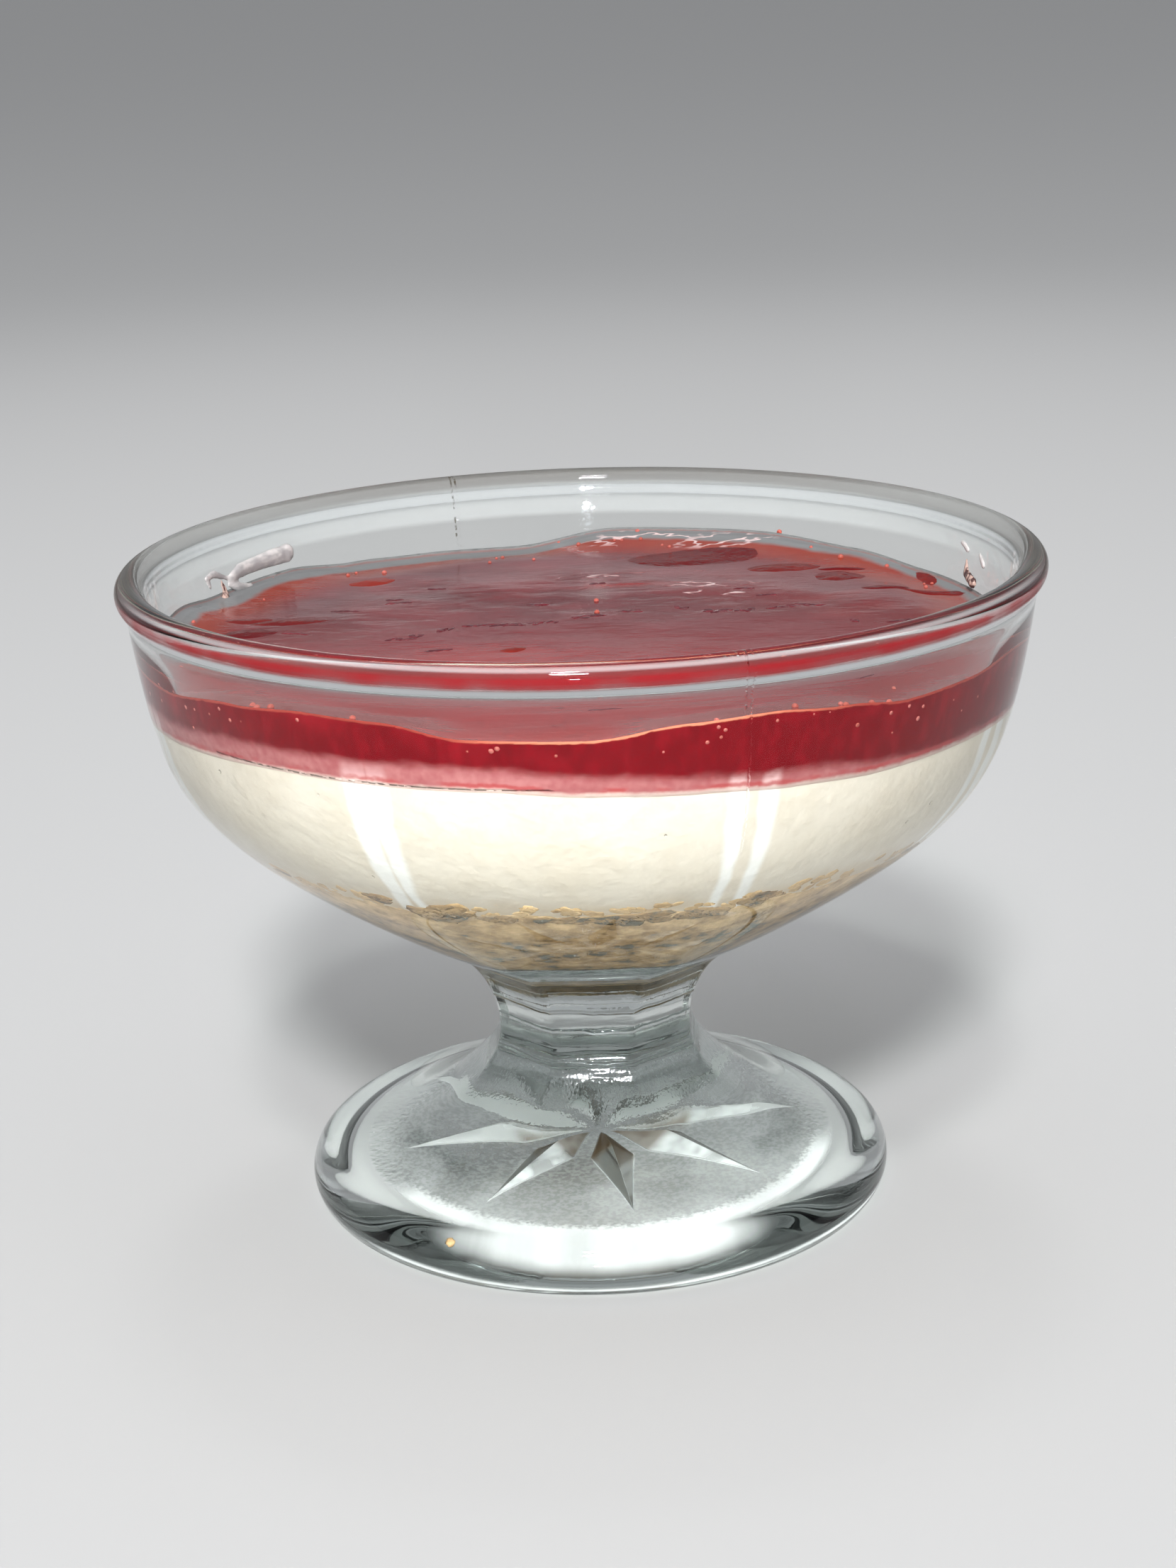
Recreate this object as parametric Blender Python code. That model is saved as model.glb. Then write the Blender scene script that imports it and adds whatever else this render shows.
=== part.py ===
"""A no-bake cheesecake set in a clear pressed-glass footed coupe.

A base of biscuit crumbs, a thick layer of cream cheese and a topping of strawberry
jelly lie one on another in the bowl of the glass. All sizes are in metres, +Z is up,
and the origin is at the bottom centre of the foot. Azimuth 0 is the front, towards -Y,
and azimuths grow towards +X.
"""

import math

import bpy
from mathutils import Vector, noise

# The glass: overall sizes.
TOTAL_HEIGHT = 0.0808
RIM_RADIUS = 0.0550
LIP_THICKNESS = 0.0034
FOOT_RADIUS = 0.0360
FOOT_EDGE_RADIUS = 0.0039
RECESS_RADIUS = 0.0286

# The glass: eight panels with soft ridges between them, from under the lip to the foot.
PANELS = 8
FRONT_PANEL_AZIMUTH = math.radians(-2.0)
PANEL_DEPTH = 0.0009
PANELS_FADE_IN = (0.0735, 0.0640)
PANELS_FADE_OUT = (0.0150, 0.0105)

# The glass: outlines as (radius, height), each from the top down.
BOWL_OUTSIDE = (
    (0.0540, 0.0772),
    (0.0530, 0.0715),
    (0.0511, 0.0635),
    (0.0480, 0.0563),
    (0.0420, 0.0492),
    (0.0329, 0.0421),
    (0.0218, 0.0350),
)
STEM_OUTSIDE = (
    (0.0152, 0.0315),
    (0.0123, 0.0268),
    (0.0116, 0.0225),
    (0.0125, 0.0189),
    (0.0154, 0.0159),
)
FOOT_TOP = (
    (0.0196, 0.0130),
    (0.0256, 0.0097),
)
BOWL_INSIDE = (
    (0.0512, 0.0760),
    (0.0503, 0.0715),
    (0.0489, 0.0655),
    (0.0464, 0.0593),
    (0.0426, 0.0538),
    (0.0363, 0.0484),
    (0.0286, 0.0430),
    (0.0200, 0.0381),
    (0.0100, 0.0367),
)
BOWL_INSIDE_BOTTOM = 0.0364

# The underside of the foot: a shallow recess with a star of pressed rays.
RESTING_RING_FILLET = 0.0012
RECESS_HEIGHT = 0.0013
RECESS_CENTRE_HEIGHT = 0.0024
RAYS = 8
FIRST_RAY_AZIMUTH = math.radians(9.25)
RAY_INNER_RADIUS = 0.0030
RAY_OUTER_RADIUS = 0.0262
RAY_HALF_WIDTH = 0.0030
RAY_DEPTH = 0.0016

# The filling: heights of its layers, and how uneven each surface is.
GAP = 0.0003
CRUMB_TOP = 0.0507
CRUMB_UNEVEN = 0.0011
CRUMB_LUMP_PITCH = 0.0085
CHEESE_TOP = 0.0656
CHEESE_TILT = 0.024
CHEESE_UNEVEN = 0.0003
CHEESE_WAVE_PITCH = 0.020
JELLY_TOP = 0.0712
JELLY_UNEVEN = 0.0005
JELLY_WAVE_PITCH = 0.013
MENISCUS_RISE = 0.0006
MENISCUS_WIDTH = 0.0030
SWELL_WIDTH = 0.020
# Swells of the set jelly along the wall: azimuth and half-width in degrees, rise.
JELLY_SWELLS = (
    (-38.0, 15.0, 0.0015),
    (20.0, 13.0, 0.0014),
    (68.0, 14.0, 0.0007),
    (157.0, 34.0, 0.0018),
    (-122.0, 16.0, 0.0010),
    (-96.0, 12.0, 0.0012),
)

# How finely the round shapes are divided.
GLASS_SEGMENTS = 64
RECESS_ROWS = 7
FILLING_SEGMENTS = 48
FILLING_RINGS = 7

GLASS_TINT = (0.86, 0.90, 0.88)
CRUMB_COLOUR = (0.42, 0.27, 0.13)
CHEESE_COLOUR = (0.86, 0.82, 0.70)
JELLY_COLOUR = (0.36, 0.012, 0.015)


def clear_scene():
    for thing in list(bpy.data.objects):
        bpy.data.objects.remove(thing, do_unlink=True)


def material(name, colour, roughness, alpha=1.0):
    finish = bpy.data.materials.new(name)
    finish.use_nodes = True
    shader = finish.node_tree.nodes["Principled BSDF"]
    shader.inputs["Base Color"].default_value = (*colour, 1.0)
    shader.inputs["Roughness"].default_value = roughness
    shader.inputs["Metallic"].default_value = 0.0
    shader.inputs["Alpha"].default_value = alpha
    return finish


def fade(value, start, end):
    """0 at start and 1 at end, with a smooth change between them."""
    share = min(1.0, max(0.0, (value - start) / (end - start)))
    return share * share * (3.0 - 2.0 * share)


def smooth_curve(points, steps):
    """Points along a Catmull-Rom curve through the given points, steps to a span."""
    padded = [Vector(point) for point in points]
    padded.insert(0, 2.0 * padded[0] - padded[1])
    padded.append(2.0 * padded[-1] - padded[-2])
    curve = []
    for span in range(1, len(padded) - 2):
        before, start, end, after = padded[span - 1:span + 3]
        for step in range(steps):
            t = step / steps
            curve.append(0.5 * (
                2.0 * start
                + (end - before) * t
                + (2.0 * before - 5.0 * start + 4.0 * end - after) * t ** 2
                + (3.0 * start - before - 3.0 * end + after) * t ** 3
            ))
    curve.append(padded[-2])
    return curve


def arc(centre, radius, start, end, steps):
    """Points on a circular arc, with its angles in degrees from the outward direction."""
    angles = [math.radians(start + (end - start) * step / steps) for step in range(steps + 1)]
    return [Vector((centre[0] + radius * math.cos(a), centre[1] + radius * math.sin(a))) for a in angles]


def on_circle(radius, azimuth, height):
    return Vector((radius * math.sin(azimuth), -radius * math.cos(azimuth), height))


def turned_solid(name, rings, poles, finish):
    """One closed body: rings of points from top to bottom, closed by a point at each end."""
    count = len(rings[0])
    points = [poles[0]] + [point for ring in rings for point in ring] + [poles[1]]
    last = len(points) - 1
    faces = []
    for side in range(count):
        following = (side + 1) % count
        faces.append((0, 1 + side, 1 + following))
        for row in range(len(rings) - 1):
            upper = 1 + row * count
            lower = upper + count
            corners = (upper + side, lower + side, lower + following, upper + following)
            # Surfaces that face each other across a gap are split along the same diagonal.
            if rings[row + 1][side].xy.length > rings[row][side].xy.length:
                faces += [(corners[0], corners[1], corners[2]), (corners[0], corners[2], corners[3])]
            else:
                faces += [(corners[0], corners[1], corners[3]), (corners[1], corners[2], corners[3])]
        bottom = 1 + (len(rings) - 1) * count
        faces.append((bottom + side, last, bottom + following))
    mesh = bpy.data.meshes.new(name)
    mesh.from_pydata(points, [], faces)
    mesh.shade_smooth()
    mesh.materials.append(finish)
    solid = bpy.data.objects.new(name, mesh)
    bpy.context.collection.objects.link(solid)
    return solid


def panelled_radius(radius, height, azimuth):
    """The outer radius, flattened between the ridges where the glass has panels."""
    half_panel = math.pi / PANELS
    strength = fade(height, *PANELS_FADE_IN) * fade(height, PANELS_FADE_OUT[1], PANELS_FADE_OUT[0])
    from_middle = (azimuth - FRONT_PANEL_AZIMUTH + half_panel) % (2.0 * half_panel) - half_panel
    flat = math.cos(half_panel) / math.cos(from_middle)
    deepest = radius * (1.0 - math.cos(half_panel))
    share = min(1.0, PANEL_DEPTH / deepest) * strength
    ridge_radius = radius + share * deepest
    return ridge_radius * (1.0 - share * (1.0 - flat))


def ray_lift(radius, azimuth):
    """How far a pressed ray of the star rises into the foot at a point of its underside."""
    along = (radius - RAY_INNER_RADIUS) / (RAY_OUTER_RADIUS - RAY_INNER_RADIUS)
    if not 0.0 < along < 1.0:
        return 0.0
    half_turn = math.pi / RAYS
    from_ray = (azimuth - FIRST_RAY_AZIMUTH + half_turn) % (2.0 * half_turn) - half_turn
    leaf = math.sin(math.pi * along) ** 0.8
    across = abs(radius * math.sin(from_ray)) / (RAY_HALF_WIDTH * leaf)
    return RAY_DEPTH * leaf * max(0.0, 1.0 - across)


def coupe_outline():
    """The outline of the glass from the inside of the bowl, over the lip, to the underside."""
    lip_radius = LIP_THICKNESS / 2.0
    lip_centre = (RIM_RADIUS - lip_radius, TOTAL_HEIGHT - lip_radius)
    edge_centre = (FOOT_RADIUS - FOOT_EDGE_RADIUS, FOOT_EDGE_RADIUS)
    edge = arc(edge_centre, FOOT_EDGE_RADIUS, 90.0, -90.0, 6)
    inside = smooth_curve(BOWL_INSIDE, 2)
    inside.reverse()
    lip = arc(lip_centre, lip_radius, 180.0, -45.0, 5)
    outside = smooth_curve(BOWL_OUTSIDE + STEM_OUTSIDE + FOOT_TOP + (tuple(edge[0]),), 2)
    ring_edge = Vector((RECESS_RADIUS + RESTING_RING_FILLET, 0.0))
    recess_radii = [RECESS_RADIUS * (RECESS_ROWS - row) / RECESS_ROWS for row in range(RECESS_ROWS)]
    recess = [Vector((radius, recess_height(radius))) for radius in recess_radii]
    return inside + lip + outside + edge[1:] + [ring_edge] + recess


def recess_height(radius):
    """The height of the plain underside of the foot inside its resting ring."""
    return RECESS_CENTRE_HEIGHT + (RECESS_HEIGHT - RECESS_CENTRE_HEIGHT) * (radius / RECESS_RADIUS) ** 2


def build_coupe():
    azimuths = [FRONT_PANEL_AZIMUTH + 2.0 * math.pi * (side + 0.5 * GLASS_SEGMENTS / PANELS) / GLASS_SEGMENTS
                for side in range(GLASS_SEGMENTS)]
    outline = coupe_outline()
    top_of_outside = outline.index(max(outline, key=lambda point: point.y))
    rings = []
    for number, (radius, height) in enumerate(outline):
        ring = []
        for azimuth in azimuths:
            reach = radius
            lift = 0.0
            if number > top_of_outside and height > FOOT_EDGE_RADIUS:
                reach = panelled_radius(radius, height, azimuth)
            if radius < RECESS_RADIUS and height < FOOT_EDGE_RADIUS:
                lift = ray_lift(radius, azimuth)
            ring.append(on_circle(reach, azimuth, height + lift))
        rings.append(ring)
    poles = (Vector((0.0, 0.0, BOWL_INSIDE_BOTTOM)), Vector((0.0, 0.0, RECESS_CENTRE_HEIGHT)))
    finish = material("clear_glass", GLASS_TINT, 0.04, alpha=0.35)
    return turned_solid("coupe_glass", rings, poles, finish)


WALL = smooth_curve(BOWL_INSIDE + ((0.0, BOWL_INSIDE_BOTTOM),), 8)


def filling_radius(height):
    """How far the filling reaches at a height, a gap short of the inside of the bowl."""
    for upper, lower in zip(WALL, WALL[1:]):
        if lower.y <= height <= upper.y:
            share = (height - lower.y) / (upper.y - lower.y)
            slope = (upper.x - lower.x) / (upper.y - lower.y)
            return lower.x + share * (upper.x - lower.x) - GAP * math.hypot(1.0, slope)
    raise ValueError(height)


def unevenness(x, y, pitch, rise, layer):
    """A smooth, uneven rise and fall of a layer's surface."""
    return rise * noise.noise(Vector((x / pitch, y / pitch, 7.3 * layer)))


def crumb_top(x, y):
    return CRUMB_TOP + unevenness(x, y, CRUMB_LUMP_PITCH, CRUMB_UNEVEN, 1)


def cheese_top(x, y):
    return CHEESE_TOP - CHEESE_TILT * x + unevenness(x, y, CHEESE_WAVE_PITCH, CHEESE_UNEVEN, 2)


def jelly_top(x, y):
    radius = math.hypot(x, y)
    azimuth = math.degrees(math.atan2(x, -y))
    wall = filling_radius(JELLY_TOP)
    height = JELLY_TOP + unevenness(x, y, JELLY_WAVE_PITCH, JELLY_UNEVEN, 3)
    height += MENISCUS_RISE * fade(radius, wall - MENISCUS_WIDTH, wall)
    for middle, half_width, rise in JELLY_SWELLS:
        away = abs((azimuth - middle + 180.0) % 360.0 - 180.0) / half_width
        height += rise * math.exp(-away * away) * fade(radius, wall - SWELL_WIDTH, wall)
    return height


def wall_radius(surface, clearance, azimuth):
    """Where a surface of the filling, raised by a clearance, meets the wall at an azimuth."""
    radius = 0.8 * RIM_RADIUS
    for _ in range(6):
        at = on_circle(radius, azimuth, 0.0)
        radius = filling_radius(surface(at.x, at.y) + clearance)
    return radius


def surface_rings(surface, clearance, azimuths):
    """Rings of a layer's surface from near its middle to the wall, and its middle point."""
    rings = []
    for ring in range(1, FILLING_RINGS + 1):
        share = (ring / FILLING_RINGS) ** 0.8
        row = []
        for azimuth in azimuths:
            radius = share * wall_radius(surface, 0.0, azimuth)
            if ring == FILLING_RINGS:
                radius = wall_radius(surface, clearance, azimuth)
            at = on_circle(radius, azimuth, 0.0)
            at.z = surface(at.x, at.y) + clearance
            row.append(at)
        rings.append(row)
    return rings, Vector((0.0, 0.0, surface(0.0, 0.0) + clearance))


def build_layer(name, top, bottom, side_rows, finish):
    """A layer of the filling, from wall to wall between two uneven surfaces."""
    azimuths = [2.0 * math.pi * side / FILLING_SEGMENTS for side in range(FILLING_SEGMENTS)]
    top_rings, top_middle = surface_rings(top, 0.0, azimuths)
    if bottom:
        bottom_rings, bottom_middle = surface_rings(bottom, GAP, azimuths)
        low_edge = [point.z for point in bottom_rings[-1]]
    else:
        bottom_rings = []
        bottom_middle = Vector((0.0, 0.0, BOWL_INSIDE_BOTTOM + GAP))
        low_edge = [bottom_middle.z + GAP] * FILLING_SEGMENTS
    rings = list(top_rings)
    last_row = side_rows + 1 if bottom else side_rows
    for row in range(1, last_row):
        left = 1.0 - row / side_rows if bottom else (1.0 - row / side_rows) ** 1.7
        heights = [low + (point.z - low) * left for point, low in zip(top_rings[-1], low_edge)]
        rings.append([on_circle(filling_radius(height), azimuth, height)
                      for height, azimuth in zip(heights, azimuths)])
    if bottom:
        rings[-1] = bottom_rings[-1]
        rings += list(reversed(bottom_rings[:-1]))
    return turned_solid(name, rings, (top_middle, bottom_middle), finish)


def build_filling():
    crumb = material("biscuit_crumb", CRUMB_COLOUR, 0.85)
    cheese = material("cream_cheese", CHEESE_COLOUR, 0.45)
    jelly = material("strawberry_jelly", JELLY_COLOUR, 0.12)
    build_layer("biscuit_base", crumb_top, None, 8, crumb)
    build_layer("cream_cheese", cheese_top, crumb_top, 5, cheese)
    build_layer("strawberry_jelly", jelly_top, cheese_top, 3, jelly)


clear_scene()
build_coupe()
build_filling()
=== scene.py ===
import math
import random

import bmesh
import bpy
from mathutils import Matrix, Vector


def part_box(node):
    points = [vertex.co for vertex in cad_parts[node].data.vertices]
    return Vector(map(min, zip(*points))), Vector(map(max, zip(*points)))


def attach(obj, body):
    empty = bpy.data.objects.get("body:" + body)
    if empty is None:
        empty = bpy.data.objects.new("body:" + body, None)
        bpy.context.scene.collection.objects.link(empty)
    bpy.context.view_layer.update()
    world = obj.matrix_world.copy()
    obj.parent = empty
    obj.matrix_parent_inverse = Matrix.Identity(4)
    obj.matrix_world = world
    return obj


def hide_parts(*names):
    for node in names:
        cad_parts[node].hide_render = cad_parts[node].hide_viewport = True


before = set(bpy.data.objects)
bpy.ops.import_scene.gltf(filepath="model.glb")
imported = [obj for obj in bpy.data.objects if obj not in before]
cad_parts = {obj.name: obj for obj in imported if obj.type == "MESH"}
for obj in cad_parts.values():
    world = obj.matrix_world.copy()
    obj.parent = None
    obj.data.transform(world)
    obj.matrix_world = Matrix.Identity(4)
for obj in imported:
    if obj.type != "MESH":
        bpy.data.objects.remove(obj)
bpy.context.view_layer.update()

# The coupe: one piece of clear glass, pressed in a mould of eight segments, with a waisted
# stem, a fire-polished lip, and a foot with a thick rolled edge. A star of eight rays is
# pressed into the underside of the foot, and the field round it is finely stippled.

COUPE_LOW, COUPE_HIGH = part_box("coupe_glass")
RIM_RADIUS = 0.5 * (COUPE_HIGH.x - COUPE_LOW.x)
RIM_HEIGHT = COUPE_HIGH.z
LIP_THICKNESS = 0.0034
LIP_ARC = (180.0, -62.0)
LIP_STEPS = 6
FOOT_RADIUS = 0.0360
FOOT_EDGE_RADIUS = 0.0039
FOOT_EDGE_ARC = (60.0, -60.0)
FOOT_EDGE_STEPS = 4
COLUMNS = 32
PANELS = 8
FRONT_PANEL_AZIMUTH = math.radians(-2.0)
PANEL_DEPTH = 0.0009
PANEL_TOP = (0.0735, 0.0640)
PANEL_FOOT = (0.0105, 0.0150)
RIDGE_COLUMNS = ((0, 1.0), (1, 0.22))
RIDGE_SHARPNESS = 0.45
WALL_THINNEST = 0.0015
SAME_PLACE = 0.00001
BOWL_INSIDE = (
    (0.0100, 0.0367), (0.0200, 0.0381), (0.0286, 0.0430), (0.0363, 0.0484), (0.0426, 0.0538),
    (0.0464, 0.0593), (0.0489, 0.0655), (0.0503, 0.0715), (0.0512, 0.0760),
)
BOWL_INSIDE_BOTTOM = 0.0364
BOWL_OUTSIDE = (
    (0.0538, 0.0769), (0.0530, 0.0715), (0.0511, 0.0635), (0.0480, 0.0563), (0.0420, 0.0492),
    (0.0329, 0.0421), (0.0218, 0.0350), (0.0152, 0.0315), (0.0123, 0.0268), (0.0116, 0.0225),
    (0.0125, 0.0189), (0.0154, 0.0159), (0.0196, 0.0130), (0.0256, 0.0097), (0.0321, 0.0078),
)
RESTING_RING = (0.0327, 0.0314)
RECESS_RADIUS = 0.0302
RECESS_HEIGHT = 0.0013
RECESS_CENTRE_HEIGHT = 0.0024
RECESS_SHARES = (1.0, 0.9, 0.7, 0.5, 0.3, 0.12)


def smooth_curve(points, steps):
    """Points along a Catmull-Rom curve through the given ones, steps to a span."""
    knots = [Vector(point) for point in points]
    knots = [2.0 * knots[0] - knots[1]] + knots + [2.0 * knots[-1] - knots[-2]]
    curve = []
    for before, start, end, after in zip(knots, knots[1:], knots[2:], knots[3:]):
        for step in range(steps):
            t = step / steps
            curve.append(0.5 * (
                2.0 * start + (end - before) * t
                + (2.0 * before - 5.0 * start + 4.0 * end - after) * t ** 2
                + (3.0 * start - before - 3.0 * end + after) * t ** 3
            ))
    return curve + [knots[-2]]


def arc(centre, radius, start, end, steps):
    """Points of an arc round a (radius, height) centre, in degrees from the outward direction."""
    turns = [math.radians(start + (end - start) * step / steps) for step in range(steps + 1)]
    return [Vector((centre[0] + radius * math.cos(t), centre[1] + radius * math.sin(t))) for t in turns]


def fade(value, start, end):
    """0 at start and 1 at end, with a smooth change between them."""
    share = min(1.0, max(0.0, (value - start) / (end - start)))
    return share * share * (3.0 - 2.0 * share)


def open_piece(name):
    """Names the primitive just added and opens it, in the part's own coordinates."""
    piece = bpy.context.object
    piece.name = piece.data.name = name
    bpy.ops.object.transform_apply(location=True, rotation=True, scale=True)
    bpy.ops.object.mode_set(mode="EDIT")
    bpy.ops.mesh.select_mode(type="VERT")
    return piece


def pick(piece, test):
    """Selects the points of the open piece whose place passes a test."""
    bpy.ops.mesh.select_all(action="DESELECT")
    points = bmesh.from_edit_mesh(piece.data)
    for point in points.verts:
        point.select = bool(test(point.co))
    points.select_flush_mode()
    bmesh.update_edit_mesh(piece.data)


def draw_out(stations):
    """Extrudes the selected ring from the first (radius, height) station through the others."""
    for (radius, height), (next_radius, next_height) in zip(stations, stations[1:]):
        rise = (0.0, 0.0, next_height - height)
        bpy.ops.mesh.extrude_edges_move(TRANSFORM_OT_translate={"value": rise})
        scale = next_radius / radius
        bpy.ops.transform.resize(value=(scale, scale, 1.0), center_override=(0.0, 0.0, next_height))


def close_ring(height):
    """Closes the selected ring with a point on the axis at a height."""
    bpy.ops.mesh.extrude_edges_move()
    bpy.ops.mesh.merge(type="CENTER")
    middle = bmesh.from_edit_mesh(bpy.context.object.data)
    for point in middle.verts:
        if point.select:
            point.co = (0.0, 0.0, height)
    bmesh.update_edit_mesh(bpy.context.object.data)


def turned(name, stations, columns, start_height, end_height, turn=0.0):
    """Opens a closed form: from a point on the axis through rings to a point on the axis again."""
    bpy.ops.object.select_all(action="DESELECT")
    bpy.ops.mesh.primitive_circle_add(vertices=columns, radius=stations[0][0], fill_type="TRIFAN",
                                      location=(0.0, 0.0, stations[0][1]), rotation=(0.0, 0.0, turn))
    piece = open_piece(name)
    pick(piece, lambda place: place.xy.length < 0.5 * stations[0][0])
    bpy.ops.transform.translate(value=(0.0, 0.0, start_height - stations[0][1]))
    pick(piece, lambda place: place.xy.length > 0.5 * stations[0][0])
    draw_out(stations)
    close_ring(end_height)
    bpy.ops.mesh.select_all(action="SELECT")
    bpy.ops.mesh.normals_make_consistent(inside=False)
    return piece


def apply_modifier(piece, kind, **settings):
    """Adds a modifier to a piece and applies it."""
    modifier = piece.modifiers.new(kind.title(), kind)
    for setting, value in settings.items():
        setattr(modifier, setting, value)
    bpy.ops.object.select_all(action="DESELECT")
    bpy.context.view_layer.objects.active = piece
    piece.select_set(True)
    bpy.ops.object.modifier_apply(modifier=modifier.name)


def close_rounded(piece):
    """Closes the open piece and rounds its rings into one smooth surface."""
    bpy.ops.object.mode_set(mode="OBJECT")
    apply_modifier(piece, "SUBSURF", levels=2, render_levels=2)


def drawn_in(turn):
    """How far the rounding draws in a ring whose points are a turn apart."""
    return (4.0 + 2.0 * math.cos(turn)) / 6.0


def recess_at(share):
    """The height of the recessed face under the foot, at a share of its radius."""
    return RECESS_CENTRE_HEIGHT + (RECESS_HEIGHT - RECESS_CENTRE_HEIGHT) * share ** 2.0


def azimuth_of(place):
    """The angle round the axis, from the front towards +X."""
    return math.atan2(place.x, -place.y)


def columns_from_ridge(place):
    """How many of the coupe's columns of points lie between a place and the nearest ridge."""
    panel = 2.0 * math.pi / PANELS
    from_middle = (azimuth_of(place) - FRONT_PANEL_AZIMUTH + 0.5 * panel) % panel
    return round(min(from_middle, panel - from_middle) * COLUMNS / (2.0 * math.pi))


WALL = smooth_curve(BOWL_INSIDE, 6)


def wall_radius(height):
    """The radius of the inside of the bowl at a height."""
    for low, high in zip(WALL, WALL[1:]):
        if low.y <= height <= high.y:
            return low.x + (high.x - low.x) * (height - low.y) / (high.y - low.y)
    return WALL[0].x if height < WALL[0].y else WALL[-1].x


lip_radius = 0.5 * LIP_THICKNESS
lip_centre = (RIM_RADIUS - lip_radius, RIM_HEIGHT - lip_radius)
edge_centre = (FOOT_RADIUS - FOOT_EDGE_RADIUS, FOOT_EDGE_RADIUS)
# The rounding draws each ring of points in, so that the rings start wider.
draw_in = drawn_in(2.0 * math.pi / COLUMNS)
lip_draw_in = drawn_in(math.radians((LIP_ARC[0] - LIP_ARC[1]) / LIP_STEPS))
edge_draw_in = drawn_in(math.radians((FOOT_EDGE_ARC[0] - FOOT_EDGE_ARC[1]) / FOOT_EDGE_STEPS))
stations = (
    smooth_curve(BOWL_INSIDE, 2)
    + arc(lip_centre, lip_radius / lip_draw_in, *LIP_ARC, LIP_STEPS)
    + smooth_curve(BOWL_OUTSIDE, 2)
    + arc(edge_centre, FOOT_EDGE_RADIUS / edge_draw_in, *FOOT_EDGE_ARC, FOOT_EDGE_STEPS)
    + [Vector((radius, 0.0)) for radius in RESTING_RING]
    + [Vector((share * RECESS_RADIUS, recess_at(share))) for share in RECESS_SHARES]
)
stations = [(place[0] / draw_in, place[1]) for place in stations]
coupe = turned("coupe", stations, COLUMNS, BOWL_INSIDE_BOTTOM, RECESS_CENTRE_HEIGHT, FRONT_PANEL_AZIMUTH)
outside = stations[len(BOWL_INSIDE) * 2 + LIP_STEPS:]
for radius, height in outside:
    strength = fade(height, *PANEL_TOP) * fade(height, *PANEL_FOOT)
    if strength > 0.0:
        for column, share in RIDGE_COLUMNS:
            pick(coupe, lambda place: abs(place.z - height) < SAME_PLACE
                 and abs(place.xy.length - radius) < SAME_PLACE and columns_from_ridge(place) == column)
            scale = 1.0 + share * strength * PANEL_DEPTH / radius
            bpy.ops.transform.resize(value=(scale, scale, 1.0), center_override=(0.0, 0.0, height))
pick(coupe, lambda place: columns_from_ridge(place) == 0 and PANEL_FOOT[1] < place.z < PANEL_TOP[1]
     and (place.z < BOWL_INSIDE_BOTTOM or place.xy.length > wall_radius(place.z) + WALL_THINNEST))
bpy.ops.mesh.select_mode(type="EDGE")
bpy.ops.transform.edge_crease(value=RIDGE_SHARPNESS)
close_rounded(coupe)

STAR_RAYS = 8
FIRST_RAY_AZIMUTH = math.radians(9.25)
RAY_INNER = 0.0012
RAY_WIDEST = 0.0080
RAY_OUTER = 0.0225
RAY_HALF_WIDTH = 0.0024
RAY_DEPTH = 0.0022
CUTTER_BOTTOM = 0.0008
SMOOTHED_ANGLE = math.radians(35.0)


def ray_cutter(azimuth):
    """A kite-shaped spike, which leaves a groove of four facets along one ray."""
    tip = recess_at(RAY_WIDEST / RECESS_RADIUS) + RAY_DEPTH
    depth = tip - CUTTER_BOTTOM
    half_width = RAY_HALF_WIDTH * depth / RAY_DEPTH
    bpy.ops.object.select_all(action="DESELECT")
    bpy.ops.mesh.primitive_cone_add(vertices=4, radius1=half_width, radius2=0.0, depth=depth,
                                    location=(0.0, -RAY_WIDEST, CUTTER_BOTTOM + 0.5 * depth))
    cutter = open_piece("ray_cutter")
    for end, side in ((RAY_OUTER, 1.0), (RAY_INNER, -1.0)):
        reach = abs(end - RAY_WIDEST) * depth / (tip - recess_at(end / RECESS_RADIUS))
        pick(cutter, lambda place: side * (-place.y - RAY_WIDEST) > 0.5 * half_width)
        bpy.ops.transform.translate(value=(0.0, -side * (reach - half_width), 0.0))
    bpy.ops.mesh.select_all(action="SELECT")
    bpy.ops.mesh.normals_make_consistent(inside=False)
    bpy.ops.object.mode_set(mode="OBJECT")
    cutter.data.transform(Matrix.Rotation(azimuth, 4, "Z"))
    return cutter


for ray in range(STAR_RAYS):
    cutter = ray_cutter(FIRST_RAY_AZIMUTH + ray * 2.0 * math.pi / STAR_RAYS)
    apply_modifier(coupe, "BOOLEAN", object=cutter, operation="DIFFERENCE", solver="MANIFOLD")
    bpy.data.objects.remove(cutter)
coupe.data.materials.clear()
bpy.ops.object.select_all(action="DESELECT")
coupe.select_set(True)
bpy.context.view_layer.objects.active = coupe
bpy.ops.object.shade_smooth_by_angle(angle=SMOOTHED_ANGLE)


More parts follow.
